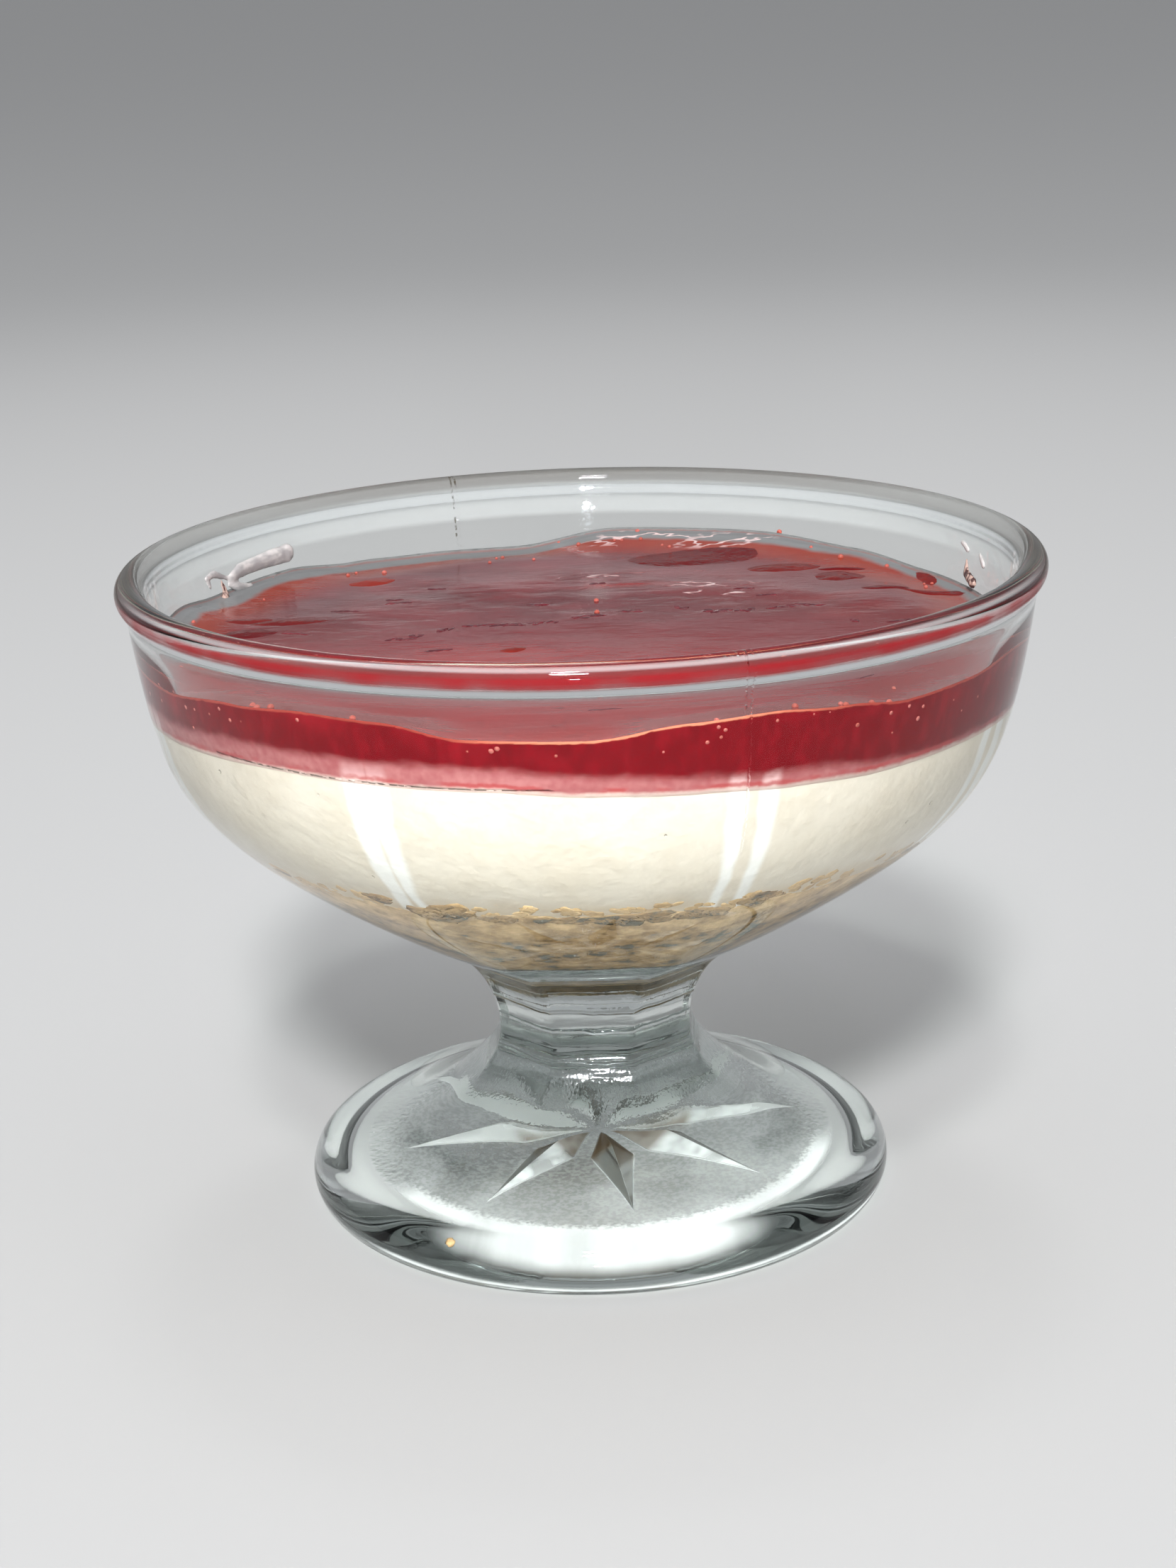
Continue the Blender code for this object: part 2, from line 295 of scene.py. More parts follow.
class Field:
    """A value that varies over a surface: a shader socket, on which arithmetic adds its nodes."""

    def __init__(self, tree, socket):
        self.tree = tree
        self.socket = socket

    def node(self, kind, inputs=None, output=0, stops=None, **settings):
        """Adds a node, makes its settings, then gives its sockets their values or links."""
        added = self.tree.nodes.new(kind)
        for setting, value in settings.items():
            setattr(added, setting, value)
        if stops:
            ramp = added.color_ramp
            while len(ramp.elements) < len(stops):
                ramp.elements.new(1.0)
            for element, (place, colour) in zip(ramp.elements, stops):
                element.position = place
                element.color = (*colour, 1.0)
        for socket, value in (inputs or {}).items():
            if isinstance(value, Field):
                self.tree.links.new(value.socket, added.inputs[socket])
            else:
                added.inputs[socket].default_value = value
        return Field(self.tree, added.outputs[output])

    def maths(self, operation, first, second=0.0):
        """A Math node on one or two values."""
        return self.node("ShaderNodeMath", {0: first, 1: second}, operation=operation)

    def __add__(self, other):
        return self.maths("ADD", self, other)

    def __radd__(self, other):
        return self.maths("ADD", other, self)

    def __sub__(self, other):
        return self.maths("SUBTRACT", self, other)

    def __rsub__(self, other):
        return self.maths("SUBTRACT", other, self)

    def __mul__(self, other):
        return self.maths("MULTIPLY", self, other)

    def __rmul__(self, other):
        return self.maths("MULTIPLY", other, self)

    def __truediv__(self, other):
        return self.maths("DIVIDE", self, other)

    def __pow__(self, other):
        return self.maths("POWER", self, other)

    def __abs__(self):
        return self.maths("ABSOLUTE", self)

    def __mod__(self, other):
        return self.maths("FLOORED_MODULO", self, other)

    def between(self, start, end):
        """0 up to start and 1 from end on, with a smooth change; start may be the larger."""
        low, high, first, last = (start, end, 0.0, 1.0) if start < end else (end, start, 1.0, 0.0)
        return self.node("ShaderNodeMapRange", {0: self, 1: low, 2: high, 3: first, 4: last},
                         interpolation_type="SMOOTHSTEP")

    def within(self, start, full, last, end):
        """1 from full to last and 0 outside start and end, with a smooth change between them."""
        return self.between(start, full) * self.between(end, last)

    def around(self, amount):
        """A value from 0 to 1 made a shift of up to half an amount to either side."""
        return (self - 0.5) * amount

    def axis(self, name):
        """One coordinate of a place."""
        return self.node("ShaderNodeSeparateXYZ", {0: self}, output="XYZ".index(name))

    def turn(self):
        """The angle of a place round the axis, from the front towards +X."""
        return self.maths("ARCTAN2", self.axis("X"), 0.0 - self.axis("Y"))

    def noise(self, pitch, detail=2.0, roughness=0.5):
        """Smooth noise round 0.5 whose features are about a pitch apart."""
        return self.node("ShaderNodeTexNoise", {"Vector": self, "Scale": 1.0 / pitch, "Detail": detail,
                                                "Roughness": roughness})

    def to_cells(self, pitch):
        """The distance to the nearest of scattered points that are about a pitch apart."""
        return self.node("ShaderNodeTexVoronoi", {"Vector": self, "Scale": 1.0 / pitch}, output="Distance")

    def measure(self, name):
        """A measure stored on the points of the mesh."""
        return self.node("ShaderNodeAttribute", attribute_name=name, output=2)

    def length(self):
        """How far a place is from the origin."""
        return self.node("ShaderNodeVectorMath", {0: self}, output=1, operation="LENGTH")

    def stretched(self, scale):
        """The place scaled along each axis."""
        return self.node("ShaderNodeMapping", {"Vector": self, "Scale": scale})

    def tint(self, first, second):
        """A colour that goes from the first to the second as the value goes from 0 to 1."""
        first = first if isinstance(first, Field) else (*first, 1.0)
        second = second if isinstance(second, Field) else (*second, 1.0)
        return self.node("ShaderNodeMix", {0: self, 6: first, 7: second}, output=2, data_type="RGBA")

    def bump(self, depth, strength=1.0):
        """The normal of a surface that the value raises by up to a depth."""
        return self.node("ShaderNodeBump", {"Height": self, "Distance": depth, "Strength": strength})


def finish_of(name, **uniform):
    """A new material: its place field, and a function that links varying values to its shader."""
    material = bpy.data.materials.new(name)
    material.use_nodes = True
    tree = material.node_tree
    shader = tree.nodes["Principled BSDF"]
    for socket, value in uniform.items():
        shader.inputs[socket.replace("_", " ")].default_value = value
    place = Field(tree, tree.nodes.new("ShaderNodeTexCoord").outputs["Object"])

    def surface(**varying):
        for socket, value in varying.items():
            tree.links.new(value.socket, shader.inputs[socket.replace("_", " ")])

    return material, place, surface


LIGHT_AZIMUTH = math.radians(12.0)
GLASS_DEPTH = {"Color": (0.62, 0.67, 0.65, 1.0), "Density": 30.0}
SHADOW_TINT = (0.93, 0.95, 0.94, 1.0)
FROST_AND_HIGHLIGHT_WHITE = (0.93, 0.95, 0.95)
POLISH = 0.015
RELIEF_DEPTH = 0.00022
glass, place, surface = finish_of(
    "clear_pressed_glass", Base_Color=(0.90, 0.91, 0.905, 1.0), Transmission_Weight=1.0, IOR=1.5,
    Specular_Tint=(0.40, 0.41, 0.42, 1.0))
height = place.axis("Z")
depth = place.axis("Y")
across = place.stretched((1.0, 1.0, 0.0)).length()
flat = place.stretched((1.0, 1.0, 0.1))
to_front = place.axis("X") * math.sin(LIGHT_AZIMUTH) - depth * math.cos(LIGHT_AZIMUTH)

# Under the foot the recess is stippled, and a painted highlight whitens it in front, most in a crescent.
STIPPLE_PITCH = 0.0009
STIPPLE_RELIEF = 0.14
STIPPLE_ROUGHNESS = 0.24
STIPPLE_REACH = (0.0283, 0.0272)
STIPPLE_WHITENESS = 0.09
STIPPLE_PATCH_PITCH = 0.010
STIPPLE_PATCHES = 0.16
STIPPLE_FRONT = (0.0, 0.018)
STIPPLE_FRONT_HIGHLIGHT = 0.24
SPARKLE_PITCH = 0.0005
SPARKLE_WHITENESS = 0.10
CRESCENT = (0.0246, 0.0262)
CRESCENT_FRONT = (0.005, 0.013)
CRESCENT_RAGGED = 0.0006
CRESCENT_HIGHLIGHT = 0.60
CRESCENT_EVEN = 0.65
RING_EDGE = (0.0296, 0.0304)
RING_HAZE = 0.08
above_face = height - recess_at(across / RECESS_RADIUS)
under_foot = above_face.between(0.00012, 0.00004) * across.between(*STIPPLE_REACH)
stipple = flat.noise(STIPPLE_PITCH, detail=1.0)
# The sparkles are painted glints scattered over the stippling.
sparkle = flat.noise(SPARKLE_PITCH).between(0.35, 0.65) - 0.5
# The crescent is a painted highlight in front.
crescent = (across + sparkle * CRESCENT_RAGGED).between(*CRESCENT) * to_front.between(*CRESCENT_FRONT)
broken = place.stretched((1.0, 0.3, 0.1)).noise(0.009).between(0.35, 0.60) * (1.0 - CRESCENT_EVEN)
crescent = crescent * (broken + CRESCENT_EVEN)
patchy = place.noise(STIPPLE_PATCH_PITCH).between(0.4, 0.65).around(STIPPLE_PATCHES)
# Painted highlight: the stippling is painted whiter towards the lamps in front.
frost_and_highlight = to_front.between(*STIPPLE_FRONT) * STIPPLE_FRONT_HIGHLIGHT + patchy + STIPPLE_WHITENESS
ring_haze = height.between(0.0007, 0.0002) * across.between(*RING_EDGE) * RING_HAZE
frost_and_highlight = crescent * CRESCENT_HIGHLIGHT + frost_and_highlight + sparkle * (1.0 - crescent) * SPARKLE_WHITENESS

# Each ray is a groove of facets to the left and the right. The side nearer to the front is
# hazy with a painted highlight, the other has painted shade, and near the middle of the star
# a painted reflection of the crumbs makes them brown.
RAY_TOP = (0.0052, 0.0048)
RAY_FRONT = (-0.006, 0.008)
RAY_HAZE = 0.04
NEAR_FACET_HIGHLIGHT = 0.62
FAR_FACET_SHADE = 0.55
RAY_ROOT = (0.0092, 0.0076)
RAY_ROOT_REFLECTED_BROWN = (0.105, 0.066, 0.034)
RAY_ROOT_STRENGTH = 0.70
in_ray = (above_face.between(0.00008, 0.00020) * height.between(*RAY_TOP)
          * across.between(RAY_OUTER + 0.0015, RAY_OUTER + 0.0010))
from_first = place.turn() - FIRST_RAY_AZIMUTH
half_ray = math.pi / STAR_RAYS
from_ray = (from_first + half_ray) % (2.0 * half_ray) - half_ray
on_the_right = from_first.between(-0.001, 0.001) * 2.0 - 1.0
near_facet = (from_ray * on_the_right).between(0.004, -0.004)
# The near facet gets a painted highlight, the far facet painted shade.
ray_haze_and_highlight = near_facet * to_front.between(*RAY_FRONT) * place.noise(0.004).between(0.3, 0.7)
ray_haze_and_highlight = ray_haze_and_highlight * NEAR_FACET_HIGHLIGHT + RAY_HAZE
far_facet_shade = in_ray * (1.0 - near_facet) * FAR_FACET_SHADE
# Near the middle of the star, a painted reflection of the brown crumbs.
ray_root_reflection = in_ray * across.between(*RAY_ROOT) * to_front.between(0.0, 0.002) * RAY_ROOT_STRENGTH

# The stem has rings, ripples and fine upright scratches from the mould, most of all on the
# flare below it, and one seam runs down the back of the bowl, with dirt in its upper end.
STEM = (0.0135, 0.0165, 0.0290, 0.0330)
STEM_ROUGHNESS = 0.03
STEM_FLARE = (0.0138, 0.0150, 0.0190, 0.0200)
STEM_RINGS = ((0.0203, 0.00045, 0.90), (0.0243, 0.0003, 0.45), (0.0270, 0.0004, 0.54))
RING_WAVINESS = 0.0009
RIPPLE = (0.012, 0.012, 0.0016)
RIPPLE_RELIEF = (0.4, 0.5)
SCRATCH = (0.00035, 0.00035, 0.0060)
SCRATCH_RELIEF = (0.08, 0.10)
HAMMER_PITCH = 0.0009
HAMMER_RELIEF = 0.14
FLOW_PITCH = 0.014
FLOW_RELIEF = 0.12
SEAM_AZIMUTH = math.radians(-161.4)
SEAM_HALF_WIDTH = 0.00022
SEAM_BOTTOM = (0.0560, 0.0660)
SEAM_RELIEF = 0.3
SEAM_DIRTY = (0.0690, 0.0735)
DIRT_AND_SHADE_GREY = (0.066, 0.056, 0.042)
on_stem = height.within(*STEM)
on_flare = height.within(*STEM_FLARE)
ripple = place.stretched([1.0 / pitch for pitch in RIPPLE]).noise(1.0)
scratch = place.stretched([1.0 / pitch for pitch in SCRATCH]).noise(1.0, detail=1.0)
relief = stipple * under_foot * STIPPLE_RELIEF + place.noise(FLOW_PITCH, detail=1.0) * FLOW_RELIEF
for marks, (stem_relief, flare_relief) in ((ripple, RIPPLE_RELIEF), (scratch, SCRATCH_RELIEF)):
    relief = relief + marks * (on_stem * stem_relief + on_flare * flare_relief)
wavy = height + flat.noise(0.0035).around(RING_WAVINESS)
for ring_height, ring_width, ring_relief in STEM_RINGS:
    relief = relief + abs(wavy - ring_height).between(ring_width, 0.0) * ring_relief
relief = relief + place.noise(HAMMER_PITCH) * on_flare * HAMMER_RELIEF
from_seam = place.axis("X") * math.cos(SEAM_AZIMUTH) + depth * math.sin(SEAM_AZIMUTH)
seam = (abs(from_seam).between(SEAM_HALF_WIDTH, 0.0) * height.between(*SEAM_BOTTOM)
        * place.noise(0.0006).between(0.40, 0.60))
in_seam = (seam * height.between(*SEAM_DIRTY) * across.between(0.0516, 0.0520) * depth.between(0.0, 0.001)
           * place.noise(0.0009).between(0.42, 0.50))
relief = relief + seam * SEAM_RELIEF

# The lip has painted red in front, standing for the jelly seen through it, below a painted
# highlight along its top. It is uneven inside at the back, with a painted highlight under its
# edge there, and painted shade at the top.
LIP_WALL = 0.0530
LIP_INSIDE = (0.0722, 0.0735, 0.0795, 0.0806)
LIP_INSIDE_RELIEF = 0.10
LIP_LINE = (0.0799, 0.0802, 0.0803, 0.0806)
LIP_LINE_HIGHLIGHT = 0.22
LIP_BAND = (0.0778, 0.0784, 0.0792, 0.0798)
LIP_PAINTED_JELLY_RED = (0.26, 0.006, 0.010)
LIP_PAINTED_JELLY_STRENGTH = 0.75
LIP_SHADE = (0.0788, 0.0796)
LIP_SHADE_STRENGTH = 0.42
UNDER_LIP = (0.0742, 0.0752, 0.0784, 0.0790)
UNDER_LIP_HIGHLIGHT = 0.16
dimpled = place.noise(0.0013) * height.within(*LIP_INSIDE) * depth.between(0.010, 0.030)
relief = relief + dimpled * LIP_INSIDE_RELIEF
# Painted: the red of the jelly seen through the lip in front.
painted_jelly_in_lip = (height.within(*LIP_BAND) * across.between(LIP_WALL, LIP_WALL + 0.0004)
              * depth.between(-0.004, -0.026) * LIP_PAINTED_JELLY_STRENGTH)
painted_jelly_in_lip = painted_jelly_in_lip * (place.noise(0.006).between(0.3, 0.6) * 0.4 + 0.6)
# Painted highlight along the top of the lip in front.
lip_highlight_line = (height.within(*LIP_LINE) * across.between(LIP_WALL, LIP_WALL + 0.0003)
            * depth.between(-0.010, -0.030) * LIP_LINE_HIGHLIGHT)
lip_shade = height.between(*LIP_SHADE) * depth.between(-0.024, -0.006) * LIP_SHADE_STRENGTH
# Painted highlight under the edge of the lip at the back.
under_lip_highlight = (height.within(*UNDER_LIP) * across.between(0.0525, 0.0528) * depth.between(0.0, 0.012)
             * UNDER_LIP_HIGHLIGHT)

surface(Normal=relief.bump(RELIEF_DEPTH),
        Roughness=under_foot * STIPPLE_ROUGHNESS + on_stem * STEM_ROUGHNESS + POLISH)
solid = Field(glass.node_tree, glass.node_tree.nodes["Principled BSDF"].outputs[0])
for share, colour in (
    # Frost, and painted highlights under the foot, on the near facets of the rays, along the lip and under
    # its edge.
    (under_foot * frost_and_highlight + in_ray * ray_haze_and_highlight + ring_haze + under_lip_highlight + lip_highlight_line, FROST_AND_HIGHLIGHT_WHITE),
    # Real dirt in the seam, and painted shade on the far facets of the rays and the top of the lip.
    (in_seam + far_facet_shade + lip_shade, DIRT_AND_SHADE_GREY),
    (painted_jelly_in_lip, LIP_PAINTED_JELLY_RED),
    (ray_root_reflection, RAY_ROOT_REFLECTED_BROWN),
):
    film = place.node("ShaderNodeBsdfDiffuse", {"Color": (*colour, 1.0)})
    solid = place.node("ShaderNodeMixShader", {0: share, 1: solid, 2: film})
in_shadow = place.node("ShaderNodeLightPath", output="Is Shadow Ray")
lets_light_through = place.node("ShaderNodeBsdfTransparent", {"Color": SHADOW_TINT})
solid = place.node("ShaderNodeMixShader", {0: in_shadow, 1: solid, 2: lets_light_through})
outlet = glass.node_tree.nodes["Material Output"].inputs
glass.node_tree.links.new(solid.socket, outlet["Surface"])
glass.node_tree.links.new(place.node("ShaderNodeVolumeAbsorption", GLASS_DEPTH).socket, outlet["Volume"])
coupe.data.materials.append(glass)
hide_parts("coupe_glass")
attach(coupe, "root")

# The biscuit base: crushed biscuits bound with butter, pressed into the bottom of the bowl.
# Against the glass the crumbs are flat, their top line is ragged, and the small pockets of air
# between the top crumbs and the cream are dark lumps of painted shade.

CRUMB_REACH = 0.00010
CRUMB_TOP = 0.0507
CRUMB_UNEVEN = 0.0024
CRUMB_PITCH = 0.0085
CRUMB_MIDDLE_RADIUS = 0.0050
CRUMB_WALL_FROM = 0.0385
CRUMB_ROWS = 8
CRUMB_RINGS = (0.93, 0.8, 0.6, 0.4, 0.2)
FILLING_COLUMNS = 64
MOULD_ROWS = 60
MOULD_COLUMNS = 256


def wall_stations(low, high, reach, rows):
    """Rings up the inside of the bowl, reaching a little into the glass."""
    heights = [low + (high - low) * row / rows for row in range(rows + 1)]
    return [Vector((wall_radius(height) + reach, height)) for height in heights]


def at_wall(place, slack=0.0002):
    """Whether a place lies against the inside of the bowl."""
    return place.xy.length > wall_radius(place.z) - slack


def group_points(piece, name, test):
    """Puts the points of the open piece that pass a test into a vertex group."""
    pick(piece, test)
    group = piece.vertex_groups.new(name=name)
    piece.vertex_groups.active_index = group.index
    bpy.ops.object.vertex_group_assign()


def crease_at_wall(piece, heights, sharpness):
    """Makes the edges at the wall at these heights sharper, then closes and rounds the piece."""
    bpy.ops.mesh.select_mode(type="EDGE")
    pick(piece, lambda place: at_wall(place)
         and any(abs(place.z - height) < SAME_PLACE for height in heights))
    bpy.ops.transform.edge_crease(value=sharpness)
    close_rounded(piece)


def cloud(name, pitch, depth=2):
    """A cloud texture for a Displace modifier, its lumps about a pitch apart."""
    texture = bpy.data.textures.new(name, "CLOUDS")
    texture.noise_scale = pitch
    texture.noise_depth = depth
    return texture


def wall_mould(reach):
    """The inside of the bowl, moved a little into the glass, for pressing a filling against it."""
    stations = wall_stations(WALL[0].y, WALL[-1].y, reach, MOULD_ROWS)
    bpy.ops.object.select_all(action="DESELECT")
    bpy.ops.mesh.primitive_circle_add(vertices=MOULD_COLUMNS, radius=stations[0].x,
                                      location=(0.0, 0.0, stations[0].y))
    mould = open_piece("wall_mould")
    bpy.ops.mesh.select_all(action="SELECT")
    draw_out(stations)
    bpy.ops.object.mode_set(mode="OBJECT")
    return mould


def press_to_wall(piece, reach):
    """Presses the points of a piece's wall group onto the bowl."""
    mould = wall_mould(reach)
    apply_modifier(piece, "SHRINKWRAP", target=mould, wrap_method="NEAREST_SURFACEPOINT", vertex_group="wall")
    bpy.data.objects.remove(mould)


bottom = [Vector((CRUMB_MIDDLE_RADIUS, BOWL_INSIDE_BOTTOM))]
side = wall_stations(WALL[0].y, CRUMB_TOP, CRUMB_REACH, CRUMB_ROWS)
top = [Vector((share * wall_radius(CRUMB_TOP), CRUMB_TOP)) for share in CRUMB_RINGS]
base = turned("biscuit_crumbs", bottom + side + top, FILLING_COLUMNS,
              BOWL_INSIDE_BOTTOM - CRUMB_REACH, CRUMB_TOP)
group_points(base, "wall", lambda place: at_wall(place) and place.z > CRUMB_WALL_FROM)
group_points(base, "top", lambda place: place.z > CRUMB_TOP - SAME_PLACE)
crease_at_wall(base, (CRUMB_TOP,), 0.8)
apply_modifier(base, "DISPLACE", texture=cloud("crumb_lumps", CRUMB_PITCH), texture_coords="LOCAL",
               direction="Z", strength=CRUMB_UNEVEN, mid_level=0.5, vertex_group="top")
press_to_wall(base, CRUMB_REACH)
bpy.ops.object.shade_smooth()

CRUMB_DARK = (0.330, 0.205, 0.090)
CRUMB_MID = (0.550, 0.365, 0.175)
CRUMB_LIGHT = (0.800, 0.560, 0.285)
CRUMB_SHADOW = (0.125, 0.105, 0.066)
CRUMB_BLOTCH = 0.0032
CRUMB_GRAIN = 0.0006
CRUMB_DEEPER = (0.0500, 0.0435)
LUMPS = 420
LUMP_SIZE = (0.0004, 0.0011)
LUMP_LENGTH = (1.0, 1.7)
LUMP_FLATNESS = (0.5, 0.9)
LUMP_TONE = (0.35, 0.90)
LUMP_UNEVEN = 0.12
LUMP_LINE = (0.0496, 0.0520)
LUMP_REACH = 0.00008
POCKET_LUMPS = 16
POCKET_LUMP_SIZE = (0.5, 1.0)
POCKET_SHADE_TONE = (-0.45, 0.15)
POCKET_INWARD = 0.0001
POCKET_REACH = 0.00020
# Each air pocket: its azimuth, height, half length and half height.
POCKETS = (
    (-24.0, 0.0508, 0.0020, 0.0011), (-34.0, 0.0518, 0.0014, 0.0006), (-15.0, 0.0500, 0.0016, 0.0006),
    (-4.0, 0.0498, 0.0026, 0.0006), (7.0, 0.0499, 0.0042, 0.0010), (18.0, 0.0499, 0.0018, 0.0009),
    (27.0, 0.0510, 0.0018, 0.0008), (64.0, 0.0508, 0.0016, 0.0005), (95.0, 0.0500, 0.0024, 0.0006),
    (131.0, 0.0509, 0.0014, 0.0006), (164.0, 0.0504, 0.0020, 0.0004), (-158.0, 0.0499, 0.0030, 0.0006),
    (-121.0, 0.0507, 0.0014, 0.0005), (-83.0, 0.0502, 0.0020, 0.0006), (-58.0, 0.0512, 0.0012, 0.0004),
)


def keep_measure(piece, name, measures):
    """Stores a measure for each point of a piece, for its material to read."""
    attribute = piece.data.attributes.new(name, "FLOAT", "POINT")
    attribute.data.foreach_set("value", measures)


def on_wall(azimuth, height, inward=0.0):
    """A place on the inside of the bowl, or inward from it."""
    return Matrix.Rotation(azimuth, 4, "Z") @ Vector((0.0, inward - wall_radius(height), height))


def placed(spot, shape, turn=0.0, tilt=0.0):
    """The matrix that gives a round lump its half sizes, tilts and turns it, and puts it on a spot."""
    lie = Matrix.Rotation(turn, 4, "Z") @ Matrix.Rotation(tilt, 4, "Y")
    return Matrix.Translation(spot) @ lie @ Matrix.Diagonal((*shape, 1.0))


def scattered(name, placings, uneven, draw):
    """One mesh of many small lumps. Each placing is a matrix, a tone and a reach into the glass."""
    bpy.ops.object.select_all(action="DESELECT")
    bpy.ops.mesh.primitive_ico_sphere_add(subdivisions=2, radius=1.0)
    model = bpy.context.object
    corners = [point.co.copy() for point in model.data.vertices]
    sides = [tuple(face.vertices) for face in model.data.polygons]
    bpy.data.objects.remove(model)
    points = []
    faces = []
    tones = []
    for placing, tone, reach in placings:
        faces += [tuple(len(points) + corner for corner in side) for side in sides]
        for corner in corners:
            point = placing @ (corner * draw.uniform(1.0 - uneven, 1.0 + uneven))
            if reach is not None:
                point.xy *= min(1.0, (wall_radius(point.z) + reach) / point.xy.length)
            points.append(point)
            tones.append(tone)
    mesh = bpy.data.meshes.new(name)
    mesh.from_pydata(points, [], faces)
    piece = bpy.data.objects.new(name, mesh)
    bpy.context.collection.objects.link(piece)
    bpy.context.view_layer.objects.active = piece
    piece.select_set(True)
    keep_measure(piece, "tone", tones)
    bpy.ops.object.shade_smooth()
    return piece


def crumb_finish(name, lump_tone):
    """Biscuit crumb: each crumb has its own tone, with darker gaps between them."""
    material, place, surface = finish_of(name, Specular_IOR_Level=0.15, Roughness=0.9)
    blotch = place.stretched((1.0, 1.0, 1.4)).noise(CRUMB_BLOTCH, detail=3.0, roughness=0.6)
    grain = place.noise(CRUMB_GRAIN)
    tone = blotch.around(2.2) + grain.around(0.40) + 0.58 - place.axis("Z").between(*CRUMB_DEEPER) * 0.30
    if lump_tone:
        tone = (tone + place.measure("tone")) * 0.5
    colour = tone.node("ShaderNodeValToRGB", {0: tone}, stops=(
        (0.0, CRUMB_SHADOW), (0.16, CRUMB_DARK), (0.52, CRUMB_MID), (0.95, CRUMB_LIGHT)))
    surface(Base_Color=colour, Normal=(grain * 0.5 + blotch * 0.5).bump(0.0003))
    return material


base.data.materials.append(crumb_finish("packed_biscuit_crumbs", False))
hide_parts("biscuit_base")
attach(base, "root")

draw = random.Random(11)
placings = []
for lump in range(LUMPS):
    size = draw.uniform(*LUMP_SIZE)
    flatness = draw.uniform(*LUMP_FLATNESS)
    spot = on_wall(draw.uniform(-math.pi, math.pi), draw.uniform(*LUMP_LINE), 0.3 * size)
    tilt = draw.uniform(-0.5, 0.5)
    shape = (size * draw.uniform(*LUMP_LENGTH), size, size * flatness)
    placings.append((placed(spot, shape, azimuth_of(spot), tilt), draw.uniform(*LUMP_TONE), LUMP_REACH))
# The air pockets: dark lumps of painted shade.
for azimuth, height, half_length, half_height in POCKETS:
    for lump in range(POCKET_LUMPS):
        along = draw.uniform(-1.0, 1.0)
        rise = half_height * draw.uniform(-1.0, 1.0) * (1.0 - along ** 2)
        turn = math.radians(azimuth) + along * half_length / wall_radius(height)
        spot = on_wall(turn, height + rise, POCKET_INWARD)
        size = draw.uniform(*POCKET_LUMP_SIZE) * half_height
        tilt = draw.uniform(-0.3, 0.3)
        shape = (2.4 * size, 0.6 * size, size)
        placing = placed(spot, shape, azimuth_of(spot), tilt)
        placings.append((placing, draw.uniform(*POCKET_SHADE_TONE), POCKET_REACH))
crumbs = scattered("crumbs_at_the_glass", placings, LUMP_UNEVEN, draw)
crumbs.data.materials.append(crumb_finish("loose_biscuit_crumbs", True))
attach(crumbs, "root")

# The cream cheese: a thick, smooth layer, spread over the crumbs and set level but for a
# slight tilt. It fills the bowl right to the glass.

CHEESE_REACH = 0.00005
CHEESE_BOTTOM = 0.0490
CHEESE_TOP = 0.0655
CHEESE_BEHIND_JELLY = 0.0005
CHEESE_BOTTOM_RADII = (0.012, 0.028)
CHEESE_ROWS = 6
CHEESE_RINGS = (0.9, 0.7, 0.5, 0.3, 0.1)
LEVEL_DEPTH = 0.010
# The line of the cheese at the glass: azimuths and heights.
CHEESE_LINE = (
    (-178.0, 0.0656), (-145.0, 0.0660), (-105.0, 0.0655), (-66.0, 0.0666), (-38.0, 0.0676),
    (-12.0, 0.0675), (2.0, 0.0667), (14.0, 0.0663), (26.0, 0.0656), (38.0, 0.0650), (66.0, 0.0651),
    (110.0, 0.0648), (150.0, 0.0650),
)


def line_height(line, azimuth):
    """The height of an uneven line round the wall, given at a few azimuths, between them too."""
    turns = math.degrees(azimuth)
    ends = list(zip(line, line[1:])) + [(line[-1], (line[0][0] + 360.0, line[0][1]))]
    for (start, low), (end, high) in ends:
        along = (turns - start) % 360.0
        if along <= end - start:
            return low + (high - low) * fade(along, 0.0, end - start)


def level_to(piece, line, level, group_name="top"):
    """Raises a group of a piece from its level to an uneven line at the wall, fading inward."""
    low = min(height for azimuth, height in line)
    high = max(height for azimuth, height in line)
    group = piece.vertex_groups[group_name].index
    rise = piece.vertex_groups.new(name="rise")
    for point in piece.data.vertices:
        share = sum(member.weight for member in point.groups if member.group == group)
        if share > 0.0:
            target = line_height(line, azimuth_of(point.co)) - low
            near = fade(wall_radius(level) - point.co.xy.length, LEVEL_DEPTH, 0.0)
            settled = level - low
            weight = (settled + (target - settled) * near) / (high - low)
            rise.add([point.index], share * weight, "REPLACE")
    for strength, moved in ((high - low, "rise"), (low - level, group_name)):
        apply_modifier(piece, "DISPLACE", direction="Z", strength=strength, mid_level=0.0, vertex_group=moved)
    piece.vertex_groups.remove(piece.vertex_groups["rise"])


bottom = [Vector((radius, CHEESE_BOTTOM)) for radius in CHEESE_BOTTOM_RADII]
side = wall_stations(CHEESE_BOTTOM, CHEESE_TOP, CHEESE_REACH, CHEESE_ROWS)
top = [Vector((share * side[-1].x, CHEESE_TOP)) for share in CHEESE_RINGS]
cheese = turned("cream_cheese_layer", bottom + side + top, FILLING_COLUMNS, CHEESE_BOTTOM, CHEESE_TOP)
group_points(cheese, "wall", at_wall)
group_points(cheese, "top", lambda place: place.z > CHEESE_TOP - SAME_PLACE)
crease_at_wall(cheese, (CHEESE_BOTTOM, CHEESE_TOP), 0.9)
level_to(cheese, [(azimuth, height + CHEESE_BEHIND_JELLY) for azimuth, height in CHEESE_LINE], CHEESE_TOP)
press_to_wall(cheese, CHEESE_REACH)
bpy.ops.object.shade_smooth()

